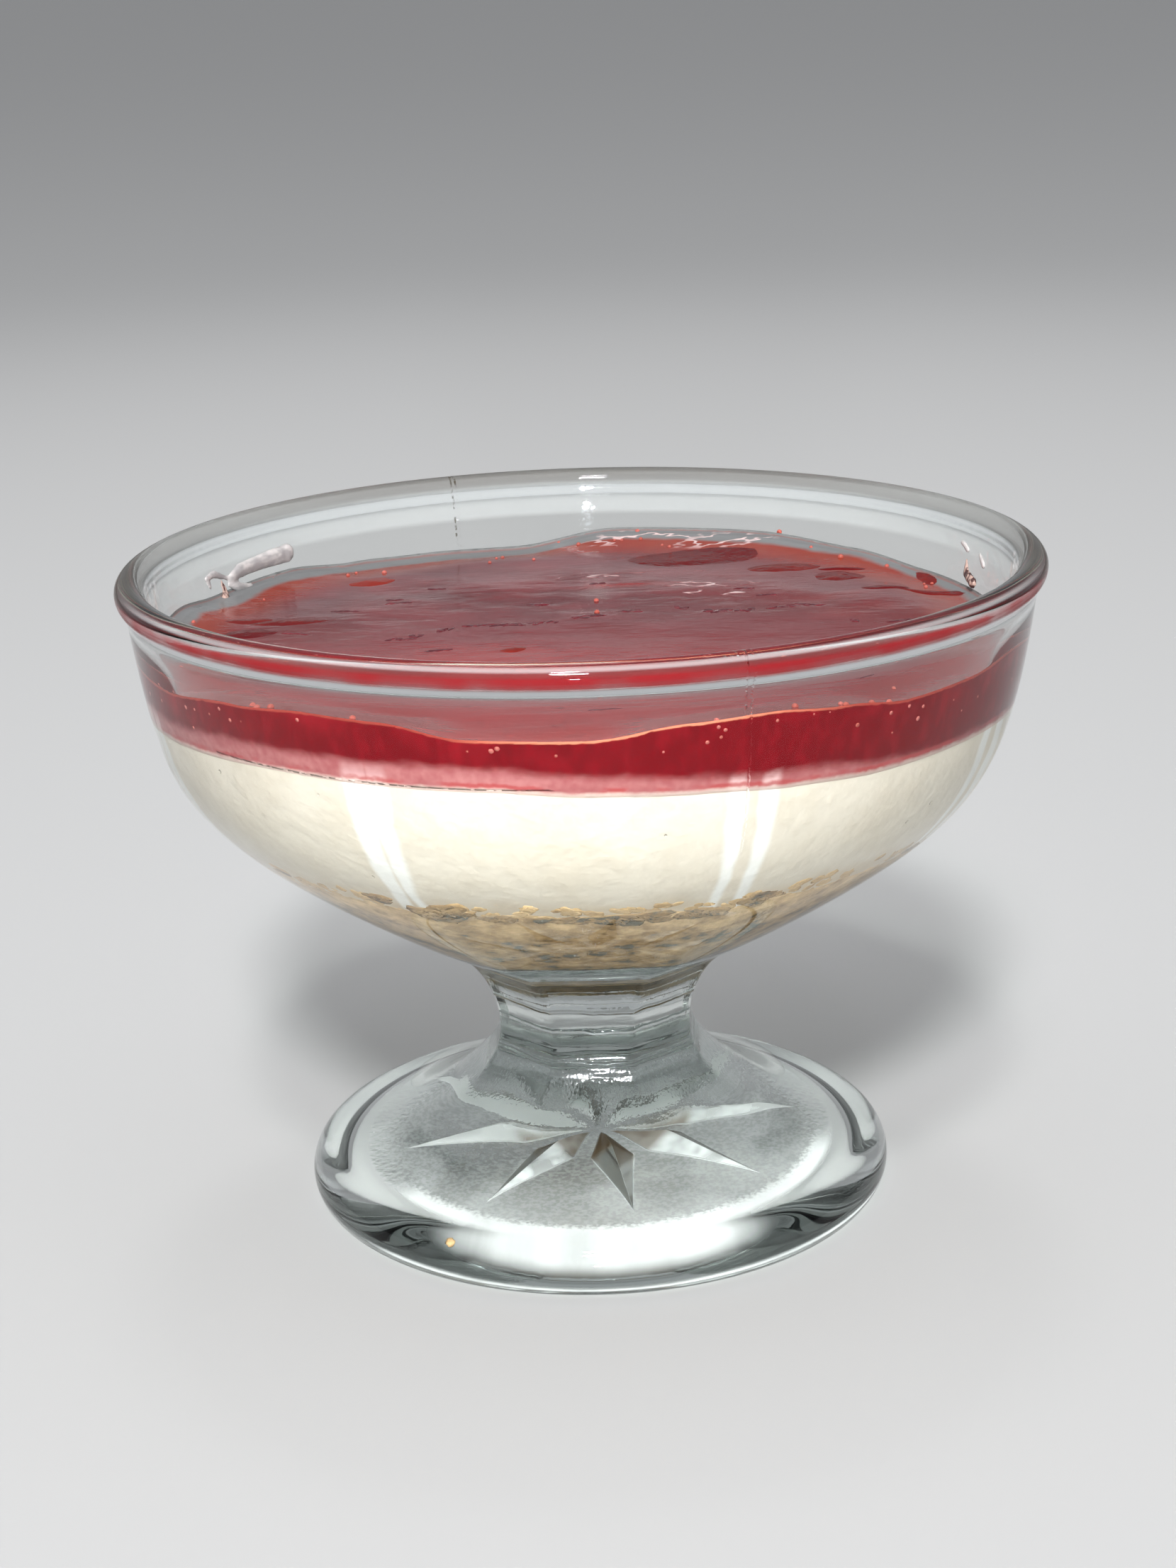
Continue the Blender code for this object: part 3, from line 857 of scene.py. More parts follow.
CREAM = (0.77, 0.700, 0.590)
CREAM_SHADE = (0.72, 0.645, 0.530)
CREAM_LIT = (0.93, 0.92, 0.88)
CREAM_PORE_SHADE = (0.50, 0.45, 0.36)
CREAM_VEIL = (0.60, 0.47, 0.31)
VEIL_HEIGHTS = (0.0532, 0.0504)
MOTTLE_PITCH = 0.007
CURD_PITCH = 0.0016
PORE_PITCH = 0.0032
RIDGE_REACH = 0.047
LIGHT_BANDS = (0.0008, 0.0024)
LIGHT_SHIFT = 0.0024
LIGHT_WIDER = 0.0001
LIGHT_NARROWER = 0.0006
LIGHT_RAGGED = 0.0009
LIGHT_SPREAD = 0.0007
LIGHT_BAND_TOP = (0.0695, 0.0655)
LIGHT_BAND_FOOT = (0.0480, 0.0520)


def light_bands(place, height):
    """The two bright lines that each ridge of the glass throws on what lies behind it."""
    panel = 2.0 * math.pi / PANELS
    # A ridge lies half a panel from the middle of the front panel. The bands left of the
    # front are thrown a little further left, and the outer one is the wider.
    left = place.axis("X").between(0.002, -0.002)
    from_ridge = (place.turn() - FRONT_PANEL_AZIMUTH) % panel - 0.5 * panel
    from_ridge = from_ridge * RIDGE_REACH + left * LIGHT_SHIFT
    wider = (from_ridge.between(0.0003, -0.0003) * (LIGHT_WIDER + LIGHT_NARROWER) - LIGHT_NARROWER) * left
    ragged = abs(from_ridge) + place.noise(0.004, detail=1.0).around(LIGHT_RAGGED)
    spread = height.between(0.047, 0.064) * LIGHT_SPREAD + wider
    closer = (1.0 - height.between(0.058, 0.052) * 0.5) * left * LIGHT_SPREAD
    stripe = ((ragged + closer).between(LIGHT_BANDS[0] - 0.0004, LIGHT_BANDS[0] + 0.0003)
              * (ragged - spread).between(LIGHT_BANDS[1], LIGHT_BANDS[1] - 0.0009))
    return stripe * height.between(*LIGHT_BAND_FOOT) * height.between(*LIGHT_BAND_TOP)


cream_finish, place, surface = finish_of("set_cream_cheese", Roughness=0.55, Specular_IOR_Level=0.2)
height = place.axis("Z")
mottle = place.noise(MOTTLE_PITCH, detail=3.0)
curd = place.noise(CURD_PITCH)
pore = place.to_cells(PORE_PITCH).between(0.085, 0.05) * place.noise(0.010).between(0.52, 0.60)
uneven = place.stretched((0.6, 0.6, 1.0)).noise(0.0035, detail=3.0).around(0.0034)
colour = (mottle * 0.7 + curd * 0.3).between(0.35, 0.65).tint(CREAM, CREAM_SHADE)
# The pores are painted darker, as painted shade in the small holes.
colour = (pore * 0.22).tint(colour, CREAM_PORE_SHADE)
colour = ((height + uneven).between(*VEIL_HEIGHTS) * 0.75).tint(colour, CREAM_VEIL)
colour = (light_bands(place, height) * 0.9).tint(colour, CREAM_LIT)
surface(Base_Color=colour, Normal=(mottle * 0.6 + curd * 0.3 - pore * 0.4).bump(0.0004))
cheese.data.materials.append(cream_finish)
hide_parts("cream_cheese")
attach(cheese, "root")

# The strawberry jelly: poured over the cheese and set. Where it meets the cheese it has taken
# up cream, in a milky pink band. It climbs the glass in a thin edge, higher where it was
# tilted while it set. Its skin is uneven, and wrinkled in a few places.

JELLY_REACH = 0.00010
JELLY_TOP = 0.0712
JELLY_BOTTOM = 0.0653
JELLY_UNEVEN = 0.0004
JELLY_WAVE = 0.013
JELLY_INTO_CHEESE = 0.0004
JELLY_BOTTOM_RADII = (0.015, 0.034)
JELLY_ROWS = 6
JELLY_RINGS = 13
JELLY_FIRST_RING = 0.0440
JELLY_RING_STEP = 0.0033
JELLY_FLAT_RADIUS = 0.0465
JELLY_COLUMNS = 96
# How the jelly climbs the glass: distances from it and rises.
MENISCUS = ((0.0, 0.0012), (0.0004, 0.0007), (0.0011, 0.00032), (0.0022, 0.00010), (0.0040, 0.0))
# The line of the jelly at the glass: azimuths and heights.
JELLY_LINE = (
    (-170.0, 0.0713), (-154.0, 0.0716), (-143.0, 0.0719), (-131.0, 0.0728), (-114.0, 0.0725),
    (-102.0, 0.0733), (-82.0, 0.0724), (-64.0, 0.0720), (-47.0, 0.0734), (-35.0, 0.0741),
    (-25.0, 0.0739), (-14.0, 0.0724), (0.0, 0.0723), (12.0, 0.0736), (22.0, 0.0739), (32.0, 0.0732),
    (42.0, 0.0722), (55.0, 0.0723), (66.0, 0.0730), (84.0, 0.0718), (101.0, 0.0716), (120.0, 0.0718),
    (135.0, 0.0726), (152.0, 0.0734), (174.0, 0.0733),
)
contact_height = JELLY_TOP + MENISCUS[0][1]
contact = wall_radius(contact_height) + JELLY_REACH
bottom = [Vector((radius, JELLY_BOTTOM)) for radius in JELLY_BOTTOM_RADII]
side = wall_stations(JELLY_BOTTOM, contact_height, JELLY_REACH, JELLY_ROWS)
edge = [Vector((contact - inward, JELLY_TOP + rise)) for inward, rise in MENISCUS[1:]]
middle = [Vector((JELLY_FIRST_RING - JELLY_RING_STEP * ring, JELLY_TOP)) for ring in range(JELLY_RINGS)]
jelly = turned("strawberry_jelly_top", bottom + side + edge + middle, JELLY_COLUMNS, JELLY_BOTTOM, JELLY_TOP)
group_points(jelly, "wall", at_wall)
group_points(jelly, "top", lambda place: place.z > JELLY_TOP - SAME_PLACE)
group_points(jelly, "flat", lambda place: place.z > JELLY_TOP - SAME_PLACE
             and place.xy.length < JELLY_FLAT_RADIUS)
group_points(jelly, "bottom", lambda place: place.z < JELLY_BOTTOM + SAME_PLACE)
crease_at_wall(jelly, (JELLY_BOTTOM, contact_height), 1.0)
level_to(jelly, JELLY_LINE, contact_height)
cheese_line = [(azimuth, height - JELLY_INTO_CHEESE) for azimuth, height in CHEESE_LINE]
level_to(jelly, cheese_line, JELLY_BOTTOM, "bottom")
apply_modifier(jelly, "DISPLACE", texture=cloud("jelly_waves", JELLY_WAVE, depth=1), texture_coords="LOCAL",
               direction="Z", strength=JELLY_UNEVEN, mid_level=0.5, vertex_group="flat")
press_to_wall(jelly, JELLY_REACH)
bpy.ops.object.shade_smooth()


LINE_STEP = math.radians(1.0)
LINE_SLACK = 0.00004


def wall_lines(piece, reach):
    """The top and the bottom of a piece at the wall, for each small step of azimuth."""
    lines = {}
    for point in piece.data.vertices:
        if at_wall(point.co, LINE_SLACK - reach):
            lines.setdefault(round(azimuth_of(point.co) / LINE_STEP), []).append(point.co.z)
    return {turn: (max(heights), min(heights)) for turn, heights in lines.items()}


lines = wall_lines(jelly, JELLY_REACH)
from_edge = []
above_cream = []
for point in jelly.data.vertices:
    turn = round(azimuth_of(point.co) / LINE_STEP)
    high, low = lines.get(turn, lines.get(-turn))
    inward = wall_radius(point.co.z) + JELLY_REACH - point.co.xy.length
    from_edge.append(math.hypot(max(0.0, inward), high - point.co.z))
    above_cream.append(point.co.z - low)
keep_measure(jelly, "from_edge", from_edge)
keep_measure(jelly, "above_cream", above_cream)

# Against the glass, the jelly is deep red, with the milky band at the bottom, cream in the
# line where it meets the cheese, and a thin edge that is peach in front and grey behind.
DEEP_RED = (0.135, 0.0012, 0.0040)
BRIGHT_RED = (0.250, 0.0050, 0.0110)
MILKY_PINK = (0.330, 0.092, 0.095)
MILKY_PALER = (0.45, 0.175, 0.172)
MILKY_LIT = (0.85, 0.62, 0.60)
MILKY_BAND = (0.0024, 0.0016)
SEAM_RED = (0.38, 0.050, 0.050)
SEAM_CREAM = (0.80, 0.66, 0.57)
EDGE_PEACH = (0.72, 0.24, 0.14)
EDGE_GREY = (0.16, 0.16, 0.16)
BACK_BROWN = (0.18, 0.125, 0.12)
side_finish, place, surface = finish_of("strawberry_jelly_at_the_glass", Roughness=1.0,
                                        Specular_IOR_Level=0.0)
sideways = place.axis("X")
below = place.measure("from_edge")
above = place.measure("above_cream")
curdle = place.stretched((0.5, 0.5, 1.0)).noise(0.0030, detail=4.0, roughness=0.6)
fleck = place.noise(0.0011, detail=3.0)
band = sideways.between(-0.015, 0.020) * (MILKY_BAND[1] - MILKY_BAND[0]) + MILKY_BAND[0]
band = band * (sideways.between(0.040, 0.026) * 0.7 + 0.3)
milky = (above + curdle.around(0.0020) - band).between(0.0009, -0.0007)
wander = above + fleck.around(0.0005)
seam_line = wander.within(0.0012, 0.0008, 0.0006, 0.0003) * curdle.between(0.40, 0.60)
creamy = wander.between(0.0007, 0.0001)
cloudy = (place.noise(0.0045, detail=3.0).between(0.42, 0.75) * below.between(0.0036, 0.0) * 0.8
          + place.stretched((1.0, 1.0, 0.35)).noise(0.0012).between(0.42, 0.75) * 0.4)
colour = cloudy.tint(DEEP_RED, BRIGHT_RED)
pink = (fleck * 0.5 + curdle * 0.5).between(0.3, 0.7).tint(MILKY_PINK, MILKY_PALER)
colour = milky.tint(colour, pink)
colour = (light_bands(place, place.axis("Z")) * milky * 0.7).tint(colour, MILKY_LIT)
colour = (seam_line * 0.75).tint(colour, SEAM_RED)
colour = (creamy * 0.75).tint(colour, SEAM_CREAM)
in_front = place.axis("Y").between(0.010, -0.020)
lit = sideways.within(-0.016, -0.004, 0.014, 0.030) * 0.8 + 0.2
edge_colour = in_front.tint(EDGE_GREY, lit.tint(BRIGHT_RED, EDGE_PEACH))
thin = fleck * 0.0003 + 0.00004
colour = (below.between(0.0018, 0.0006) * (1.0 - in_front) * 0.9).tint(colour, BACK_BROWN)
colour = (below - thin).between(0.00018, 0.0).tint(colour, edge_colour)
surface(Base_Color=colour)

# From above, the jelly is murky and streaked, paler in front and darker at the right. Its rim at
# the back has painted orange light, it is grey at the glass there, and its wrinkles have painted glints.
BACK_EDGE_GREY = (0.150, 0.150, 0.152)
RIM_LIT_ORANGE = (0.235, 0.035, 0.017)
TOP_RED = (0.084, 0.0045, 0.0085)
TOP_PINK = (0.145, 0.014, 0.019)
TOP_PALE = (0.310, 0.040, 0.038)
VIVID_LIT_RED = (0.20, 0.012, 0.011)
PULP_RED = (0.120, 0.003, 0.006)
RIGHT_RED = (0.115, 0.003, 0.006)
WRINKLE_GLINT = (0.62, 0.46, 0.45)
# Each wrinkled or pale patch: its x, y, half length, half width and turn.
WRINKLES = (
    (0.0090, 0.0475, 0.0080, 0.0022, 0.0), (0.0190, 0.0440, 0.0060, 0.0022, -0.1),
    (0.0060, 0.0290, 0.0080, 0.0008, 0.10), (0.0160, 0.0225, 0.0050, 0.0016, -0.05),
    (0.0170, 0.0172, 0.0045, 0.0010, -0.2),
)
PALE_PATCHES = (
    (0.0316, 0.0038, 0.0034, 0.0022, 0.0), (0.0362, 0.0069, 0.0030, 0.0020, 0.0),
    (0.0298, 0.0124, 0.0030, 0.0014, 0.1), (0.0344, 0.0149, 0.0032, 0.0012, 0.0),
    (0.0384, -0.0045, 0.0030, 0.0020, 0.2), (-0.0120, -0.0130, 0.0090, 0.0060, 0.1),
    (0.0060, 0.0230, 0.0070, 0.0012, 0.05),
)


def patches(place, spots, ragged, soft):
    """1 inside ragged ovals on the top and 0 outside them."""
    wander = place.noise(0.0022, detail=3.0).around(ragged)
    inside = None
    for x, y, half_length, half_width, turn in spots:
        spot = place.node("ShaderNodeMapping", {
            "Vector": place, "Location": (x, y, 0.0), "Rotation": (0.0, 0.0, turn),
            "Scale": (half_length, half_width, 10.0)}, vector_type="TEXTURE")
        oval = (spot.length() + wander).between(1.0 + 0.5 * soft, 1.0 - 0.5 * soft)
        inside = oval if inside is None else inside.maths("MAXIMUM", inside, oval)
    return inside


top_finish, place, surface = finish_of("strawberry_jelly", IOR=1.37, Specular_IOR_Level=0.26)
sideways = place.axis("X")
to_back = place.axis("Y")
below = place.measure("from_edge")
murk = place.noise(0.011, detail=3.0, roughness=0.55)
streak = place.stretched((0.35, 1.0, 1.0)).noise(0.0032, detail=4.0, roughness=0.6)
pulp = place.noise(0.0035, detail=4.0, roughness=0.6)
colour = (murk * 0.7 + streak * 0.3).between(0.36, 0.64).tint(TOP_RED, TOP_PINK)
colour = ((to_back + murk.around(0.03)).between(0.012, -0.030) * 0.62).tint(colour, TOP_PALE)
colour = (patches(place, PALE_PATCHES, 1.6, 1.2) * 0.40).tint(colour, TOP_PALE)
colour = (sideways.between(0.004, 0.034) * 0.60).tint(colour, RIGHT_RED)
colour = (pulp.between(0.60, 0.72) * 0.4).tint(colour, PULP_RED)
at_back = to_back.between(-0.020, 0.010)
# Painted light: the rim by the glass glows orange and vivid red, most at the back.
rim = (below + murk.around(0.006)).between(0.0110, 0.0035) * (at_back * 0.70 + 0.15)
colour = rim.tint(colour, (pulp.between(0.30, 0.70) * 0.35).tint(RIM_LIT_ORANGE, VIVID_LIT_RED))
wave = place.noise(0.008).around(0.0024) + streak.around(0.0008)
# Grey by the glass at the back of the top.
film = (below + wave + sideways.between(0.022, 0.040) * 0.0012).between(0.0034, 0.0022) * at_back
colour = film.tint(colour, BACK_EDGE_GREY)
crease = abs(place.stretched((0.5, 1.0, 1.0)).noise(0.0034, detail=3.0) - 0.5).between(0.036, 0.010)
# Painted glints along the creases in the wrinkled patches.
glint = crease * patches(place, WRINKLES, 0.8, 0.9)
colour = (glint * 0.85).tint(colour, WRINKLE_GLINT)
relief = murk * 0.5 + streak * 0.35 + pulp * 0.15 + glint * 0.3
surface(Base_Color=colour, Roughness=pulp.between(0.3, 0.8) * 0.08 + 0.06, Normal=relief.bump(0.0005, 0.6))
jelly.data.materials.append(top_finish)
jelly.data.materials.append(side_finish)
for face in jelly.data.polygons:
    face.material_index = 1 if at_wall(face.center, 0.0001) or face.normal.z < -0.5 else 0
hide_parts("strawberry_jelly")
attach(jelly, "root")

# The pieces of fruit: soft scraps of strawberry that were poured with the jelly. They lie
# half sunk in its skin, deep red and glossy, with ragged outlines.

# Each piece of fruit: its x, y, half length, half width, turn and tone.
FRUIT = (
    (0.0148, 0.0375, 0.0092, 0.0044, 3.0, 0.15), (0.0263, 0.0300, 0.0050, 0.0024, 6.0, 0.40),
    (0.0330, 0.0245, 0.0036, 0.0026, 0.0, 0.30), (0.0335, 0.0283, 0.0032, 0.0008, -6.0, 0.20),
    (0.0435, 0.0150, 0.0046, 0.0012, -14.0, 0.35), (0.0437, 0.0226, 0.0012, 0.0034, 9.0, 0.45),
    (0.0380, 0.0170, 0.0034, 0.0012, 6.0, 0.20), (-0.0400, 0.0035, 0.0034, 0.0022, 11.0, 0.10),
    (-0.0360, 0.0085, 0.0050, 0.0016, 4.0, 0.30), (-0.0412, 0.0095, 0.0030, 0.0014, 15.0, 0.45),
    (-0.0081, -0.0087, 0.0018, 0.0010, 17.0, 0.70), (-0.0270, 0.0295, 0.0030, 0.0021, 20.0, 1.00),
)
FRUIT_HALF_DEPTH = 0.0006
FRUIT_FULLER = 1.4
FRUIT_PROUD = 0.00016
FRUIT_RAGGED = 0.0015
FRUIT_TORN_PITCH = 0.0026
FROM_WALL = 0.0004
FRUIT_DEEP = (0.085, 0.0035, 0.0055)
FRUIT_BRIGHT = (0.190, 0.0160, 0.0100)


def joined(name, pieces):
    """Joins finished pieces into one mesh of that name."""
    bpy.ops.object.select_all(action="DESELECT")
    for piece in pieces:
        piece.select_set(True)
    bpy.context.view_layer.objects.active = pieces[0]
    bpy.ops.object.join()
    pieces[0].name = pieces[0].data.name = name
    return pieces[0]


def jelly_height(x, y):
    """The height of the jelly's surface at a place, or just off the wall if the place is beyond it."""
    nearer = min(1.0, (wall_radius(JELLY_TOP) - FROM_WALL) / math.hypot(x, y))
    return jelly.ray_cast((nearer * x, nearer * y, RIM_HEIGHT), (0.0, 0.0, -1.0))[1].z


bpy.context.view_layer.update()
pieces = []
for x, y, half_length, half_width, turn, tone in FRUIT:
    bpy.ops.object.select_all(action="DESELECT")
    bpy.ops.mesh.primitive_ico_sphere_add(subdivisions=4, radius=1.0)
    piece = bpy.context.object
    spot = Vector((x, y, FRUIT_PROUD - FRUIT_HALF_DEPTH))
    shape = (FRUIT_FULLER * half_length, FRUIT_FULLER * half_width, FRUIT_HALF_DEPTH)
    piece.data.transform(placed(spot, shape, math.radians(turn)))
    keep_measure(piece, "tone", [tone] * len(piece.data.vertices))
    pieces.append(piece)
fruit = joined("strawberry_pieces", pieces)
for direction in "XY":
    apply_modifier(fruit, "DISPLACE", texture=cloud("torn_" + direction, FRUIT_TORN_PITCH),
                   texture_coords="LOCAL", direction=direction, strength=FRUIT_RAGGED, mid_level=0.5)
for point in fruit.data.vertices:
    point.co.z += jelly_height(point.co.x, point.co.y)
bpy.ops.object.shade_smooth()
fruit_finish, place, surface = finish_of("strawberry_flesh", Roughness=0.14, Specular_IOR_Level=0.04)
flesh = place.noise(0.0016, detail=3.0)
tone = place.measure("tone") + flesh.around(0.5)
surface(Base_Color=tone.between(0.0, 1.0).tint(FRUIT_DEEP, FRUIT_BRIGHT),
        Normal=(place.noise(0.0030) * 0.7 + flesh * 0.3).bump(0.0004))
fruit.data.materials.append(fruit_finish)
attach(fruit, "root")

# The pulp: dark shreds on the jelly's skin. Most of them lie along one ragged line across
# the middle, where the skin wrinkled as it set.

# The places that the fold runs through.
FOLD = (
    (-0.0267, -0.0041), (-0.0245, -0.0044), (-0.0233, -0.0028), (-0.0204, -0.0015), (-0.0151, 0.0032),
    (-0.0095, 0.0038), (-0.0052, 0.0036), (-0.0010, 0.0056), (0.0043, 0.0078), (0.0095, 0.0101),
    (0.0113, 0.0102), (0.0155, 0.0069), (0.0207, 0.0073), (0.0229, 0.0081), (0.0260, 0.0091),
    (0.0295, 0.0090), (0.0315, 0.0023), (0.0329, -0.0008),
)
FOLD_PACE = 0.00045
FOLD_RUN = 5
FOLD_WHOLE = 0.72
# Each shred away from the fold: its x, y, half length and turn.
SHREDS = (
    (-0.0230, 0.0175, 0.0016, 6.0), (-0.0294, 0.0138, 0.0021, 0.0), (-0.0234, 0.0192, 0.0012, 6.0),
    (-0.0055, 0.0142, 0.0014, 0.0), (-0.0170, -0.0080, 0.0016, 12.0), (-0.0185, 0.0245, 0.0012, -8.0),
    (0.0020, 0.0245, 0.0010, 4.0), (0.0230, 0.0150, 0.0014, 8.0), (0.0205, 0.0190, 0.0012, -6.0),
    (0.0380, -0.0010, 0.0016, 14.0), (-0.0345, 0.0025, 0.0018, -20.0), (0.0200, -0.0180, 0.0015, -23.0),
    (0.0020, -0.0350, 0.0018, 17.0), (0.0310, -0.0240, 0.0014, 46.0),
)
SHRED_PARTS = (-0.6, 0.0, 0.6)
SHRED_HALF_WIDTH = (0.00035, 0.0006)
FOLD_HALF_LENGTH = (0.0004, 0.0011)
FOLD_HALF_WIDTH = (0.00025, 0.0006)
FOLD_AROUND = (0.0004, 0.0007)
SHRED_HALF_DEPTH = 0.00018
SHRED_PROUD = 0.00007
PULP_DARK = (0.062, 0.0080, 0.0130)
PULP_LIGHT = (0.130, 0.0180, 0.0250)


def shred(x, y, half_length, half_width, turn, tone):
    """A flat shred of pulp, lying on the jelly."""
    spot = Vector((x, y, jelly_height(x, y) + SHRED_PROUD - SHRED_HALF_DEPTH))
    return placed(spot, (half_length, half_width, SHRED_HALF_DEPTH), turn), tone, None


draw = random.Random(23)
placings = []
for x, y, half_length, azimuth in SHREDS:
    turn = math.radians(azimuth)
    for part in SHRED_PARTS:
        along = part * half_length
        placings.append(shred(x + along * math.cos(turn), y + along * math.sin(turn), 0.6 * half_length,
                              draw.uniform(*SHRED_HALF_WIDTH), turn, draw.uniform(0.0, 0.8)))
step = 0
whole = True
for start, end in zip(FOLD, FOLD[1:]):
    run = Vector(end) - Vector(start)
    paces = max(1, round(run.length / FOLD_PACE))
    for pace in range(paces):
        if step % FOLD_RUN == 0:
            whole = draw.random() < FOLD_WHOLE
        step += 1
        if whole:
            spot = Vector(start) + run * pace / paces
            x, y = [middle + draw.uniform(-off, off) for middle, off in zip(spot, FOLD_AROUND)]
            placings.append(shred(x, y, draw.uniform(*FOLD_HALF_LENGTH), draw.uniform(*FOLD_HALF_WIDTH),
                                  math.atan2(run.y, run.x) + draw.uniform(-0.5, 0.5), draw.uniform(0.0, 1.0)))
pulp_shreds = scattered("pulp_on_the_jelly", placings, 0.30, draw)
pulp_finish, place, surface = finish_of("strawberry_pulp", Roughness=0.30, Specular_IOR_Level=0.25)
tone = place.measure("tone") + place.noise(0.0008).around(0.6)
surface(Base_Color=tone.between(0.0, 1.0).tint(PULP_DARK, PULP_LIGHT),
        Normal=place.noise(0.0007).bump(0.0003))
pulp_shreds.data.materials.append(pulp_finish)
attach(pulp_shreds, "root")

# The bubbles: small beads of air that were caught in the jelly as it set, most of them
# against the glass, and some along its edge and on its top.

# The bubbles that stand out in the photo: azimuth and height at the glass, x and y on the top.
WALL_BUBBLES = (
    (-52.5, 0.0711), (-46.0, 0.0713), (-36.1, 0.0728), (-14.0, 0.0709), (-10.4, 0.0713), (-3.6, 0.0705),
    (15.4, 0.0726), (22.7, 0.0725), (27.5, 0.0726), (29.7, 0.0725), (34.0, 0.0704), (39.2, 0.0709),
    (44.9, 0.0706), (51.2, 0.0701), (53.6, 0.0684), (57.3, 0.0692),
)
MORE_WALL_BUBBLES = 46
WALL_BUBBLE_SIZE = (0.00018, 0.00036)
WALL_BUBBLE_DEPTH = (0.0006, 0.0050, 0.0010)
TOP_BUBBLES = (
    (-0.0120, 0.0387), (-0.0112, 0.0421), (-0.0104, 0.0429), (-0.0258, 0.0357), (-0.0402, 0.0213),
    (-0.0062, 0.0400), (0.0273, 0.0460), (0.0442, 0.0198), (0.0340, 0.0340), (0.0395, 0.0290),
    (0.0018, 0.0147), (0.0018, 0.0085),
)
MORE_TOP_BUBBLES = 26
TOP_BUBBLE_SIZE = (0.00018, 0.00042)
TOP_BUBBLE_INWARD = (0.0010, 0.0060, 0.0022)
BUBBLE_REACH = 0.00019
# The bubbles' colour is painted reflection, the light caught in the air, from darker to paler by tone.
BUBBLE_REFLECTION_PALE = (0.46, 0.13, 0.11)
BUBBLE_REFLECTION_DARK = (0.34, 0.07, 0.05)


def bead(spot, size, tone, reach):
    """A round bubble at a spot."""
    return placed(spot, (size, size, size)), tone, reach


draw = random.Random(5)
placings = []
turns_and_heights = [(math.radians(azimuth), height) for azimuth, height in WALL_BUBBLES]
for bubble in range(MORE_WALL_BUBBLES):
    azimuth = draw.uniform(-math.pi, math.pi)
    height = line_height(JELLY_LINE, azimuth) - draw.triangular(*WALL_BUBBLE_DEPTH)
    turns_and_heights.append((azimuth, height))
for azimuth, height in turns_and_heights:
    size = draw.uniform(*WALL_BUBBLE_SIZE)
    placings.append(bead(on_wall(azimuth, height, 0.3 * size), size, draw.uniform(0.2, 1.0), BUBBLE_REACH))
spots = list(TOP_BUBBLES)
for bubble in range(MORE_TOP_BUBBLES):
    edge = on_wall(draw.uniform(-math.pi, math.pi), JELLY_TOP, draw.triangular(*TOP_BUBBLE_INWARD))
    spots.append((edge.x, edge.y))
for x, y in spots:
    size = draw.uniform(*TOP_BUBBLE_SIZE)
    placings.append(bead(Vector((x, y, jelly_height(x, y))), size, draw.uniform(0.0, 0.6), None))
bubbles = scattered("bubbles_in_the_jelly", placings, 0.03, draw)
bubble_finish, place, surface = finish_of("bubble_in_jelly", Roughness=0.06, IOR=1.4)
tone = place.measure("tone") + place.noise(0.0004).around(0.5)
surface(Base_Color=tone.between(0.0, 1.0).tint(BUBBLE_REFLECTION_DARK, BUBBLE_REFLECTION_PALE))
bubbles.data.materials.append(bubble_finish)
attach(bubbles, "root")

# The smears: daubs of cream left on the inside of the glass when the cheese was spooned in.
# They are thin and greyish, and lie just above the jelly at the left and the right.

# Each smear runs through places at the glass: azimuth, height and radius.
SMEARS = (
   
    ((-118.4, 0.0735, 0.0008), (-120.5, 0.0741, 0.0010), (-126.0, 0.0744, 0.0011), (-131.0, 0.0746, 0.0013)),
    ((-112.9, 0.0734, 0.0004), (-112.3, 0.0746, 0.0005), (-114.4, 0.0748, 0.0006), (-117.6, 0.0737, 0.0004)),
    ((-117.6, 0.0728, 0.0004), (-119.5, 0.0722, 0.0007), (-122.5, 0.0718, 0.0005)),
    ((109.0, 0.0757, 0.0005), (110.6, 0.0763, 0.0005)),
    ((103.2, 0.0748, 0.0006), (105.0, 0.0757, 0.0004)),
)
DAUB_PACE = 0.00030
DAUB_SUNK = 0.25
SMEAR_THICKNESS = 0.55
SMEAR_GREY = (0.32, 0.30, 0.30)
SMEAR_PALE = (0.52, 0.48, 0.47)
DAUB_REACH = 0.00006
DAUB_VOXEL = 0.00020


def daub(name, chains, thickness, draw):
    """A soft, uneven mass on the glass, along chains of (azimuth, height, radius)."""
    placings = []
    for chain in chains:
        for (azimuth, height, size), (next_azimuth, next_height, next_size) in zip(chain, chain[1:]):
            turn = math.radians(azimuth)
            next_turn = math.radians(next_azimuth)
            reach = math.hypot((next_turn - turn) * wall_radius(height), next_height - height)
            paces = max(2, round(reach / DAUB_PACE))
            for pace in range(paces + 1):
                share = pace / paces
                here = turn + (next_turn - turn) * share
                radius = (size + (next_size - size) * share) * draw.uniform(0.95, 1.05)
                spot = on_wall(here, height + (next_height - height) * share, DAUB_SUNK * thickness * radius)
                shape = (radius, thickness * radius, radius)
                placings.append((placed(spot, shape, here), 0.0, DAUB_REACH))
    piece = scattered(name, placings, 0.0, draw)
    apply_modifier(piece, "REMESH", mode="VOXEL", voxel_size=DAUB_VOXEL)
    apply_modifier(piece, "SMOOTH", factor=0.5, iterations=6)
    bpy.ops.object.shade_smooth()
    return piece


smears = daub("cream_on_the_glass", SMEARS, SMEAR_THICKNESS, random.Random(3))
smear_finish, place, surface = finish_of("thin_cream", Roughness=0.30, Specular_IOR_Level=0.4)
streaky = place.stretched((1.0, 1.0, 2.0)).noise(0.0022)
surface(Base_Color=streaky.between(0.35, 0.65).tint(SMEAR_GREY, SMEAR_PALE), Normal=streaky.bump(0.0001))
smears.data.materials.append(smear_finish)
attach(smears, "root")

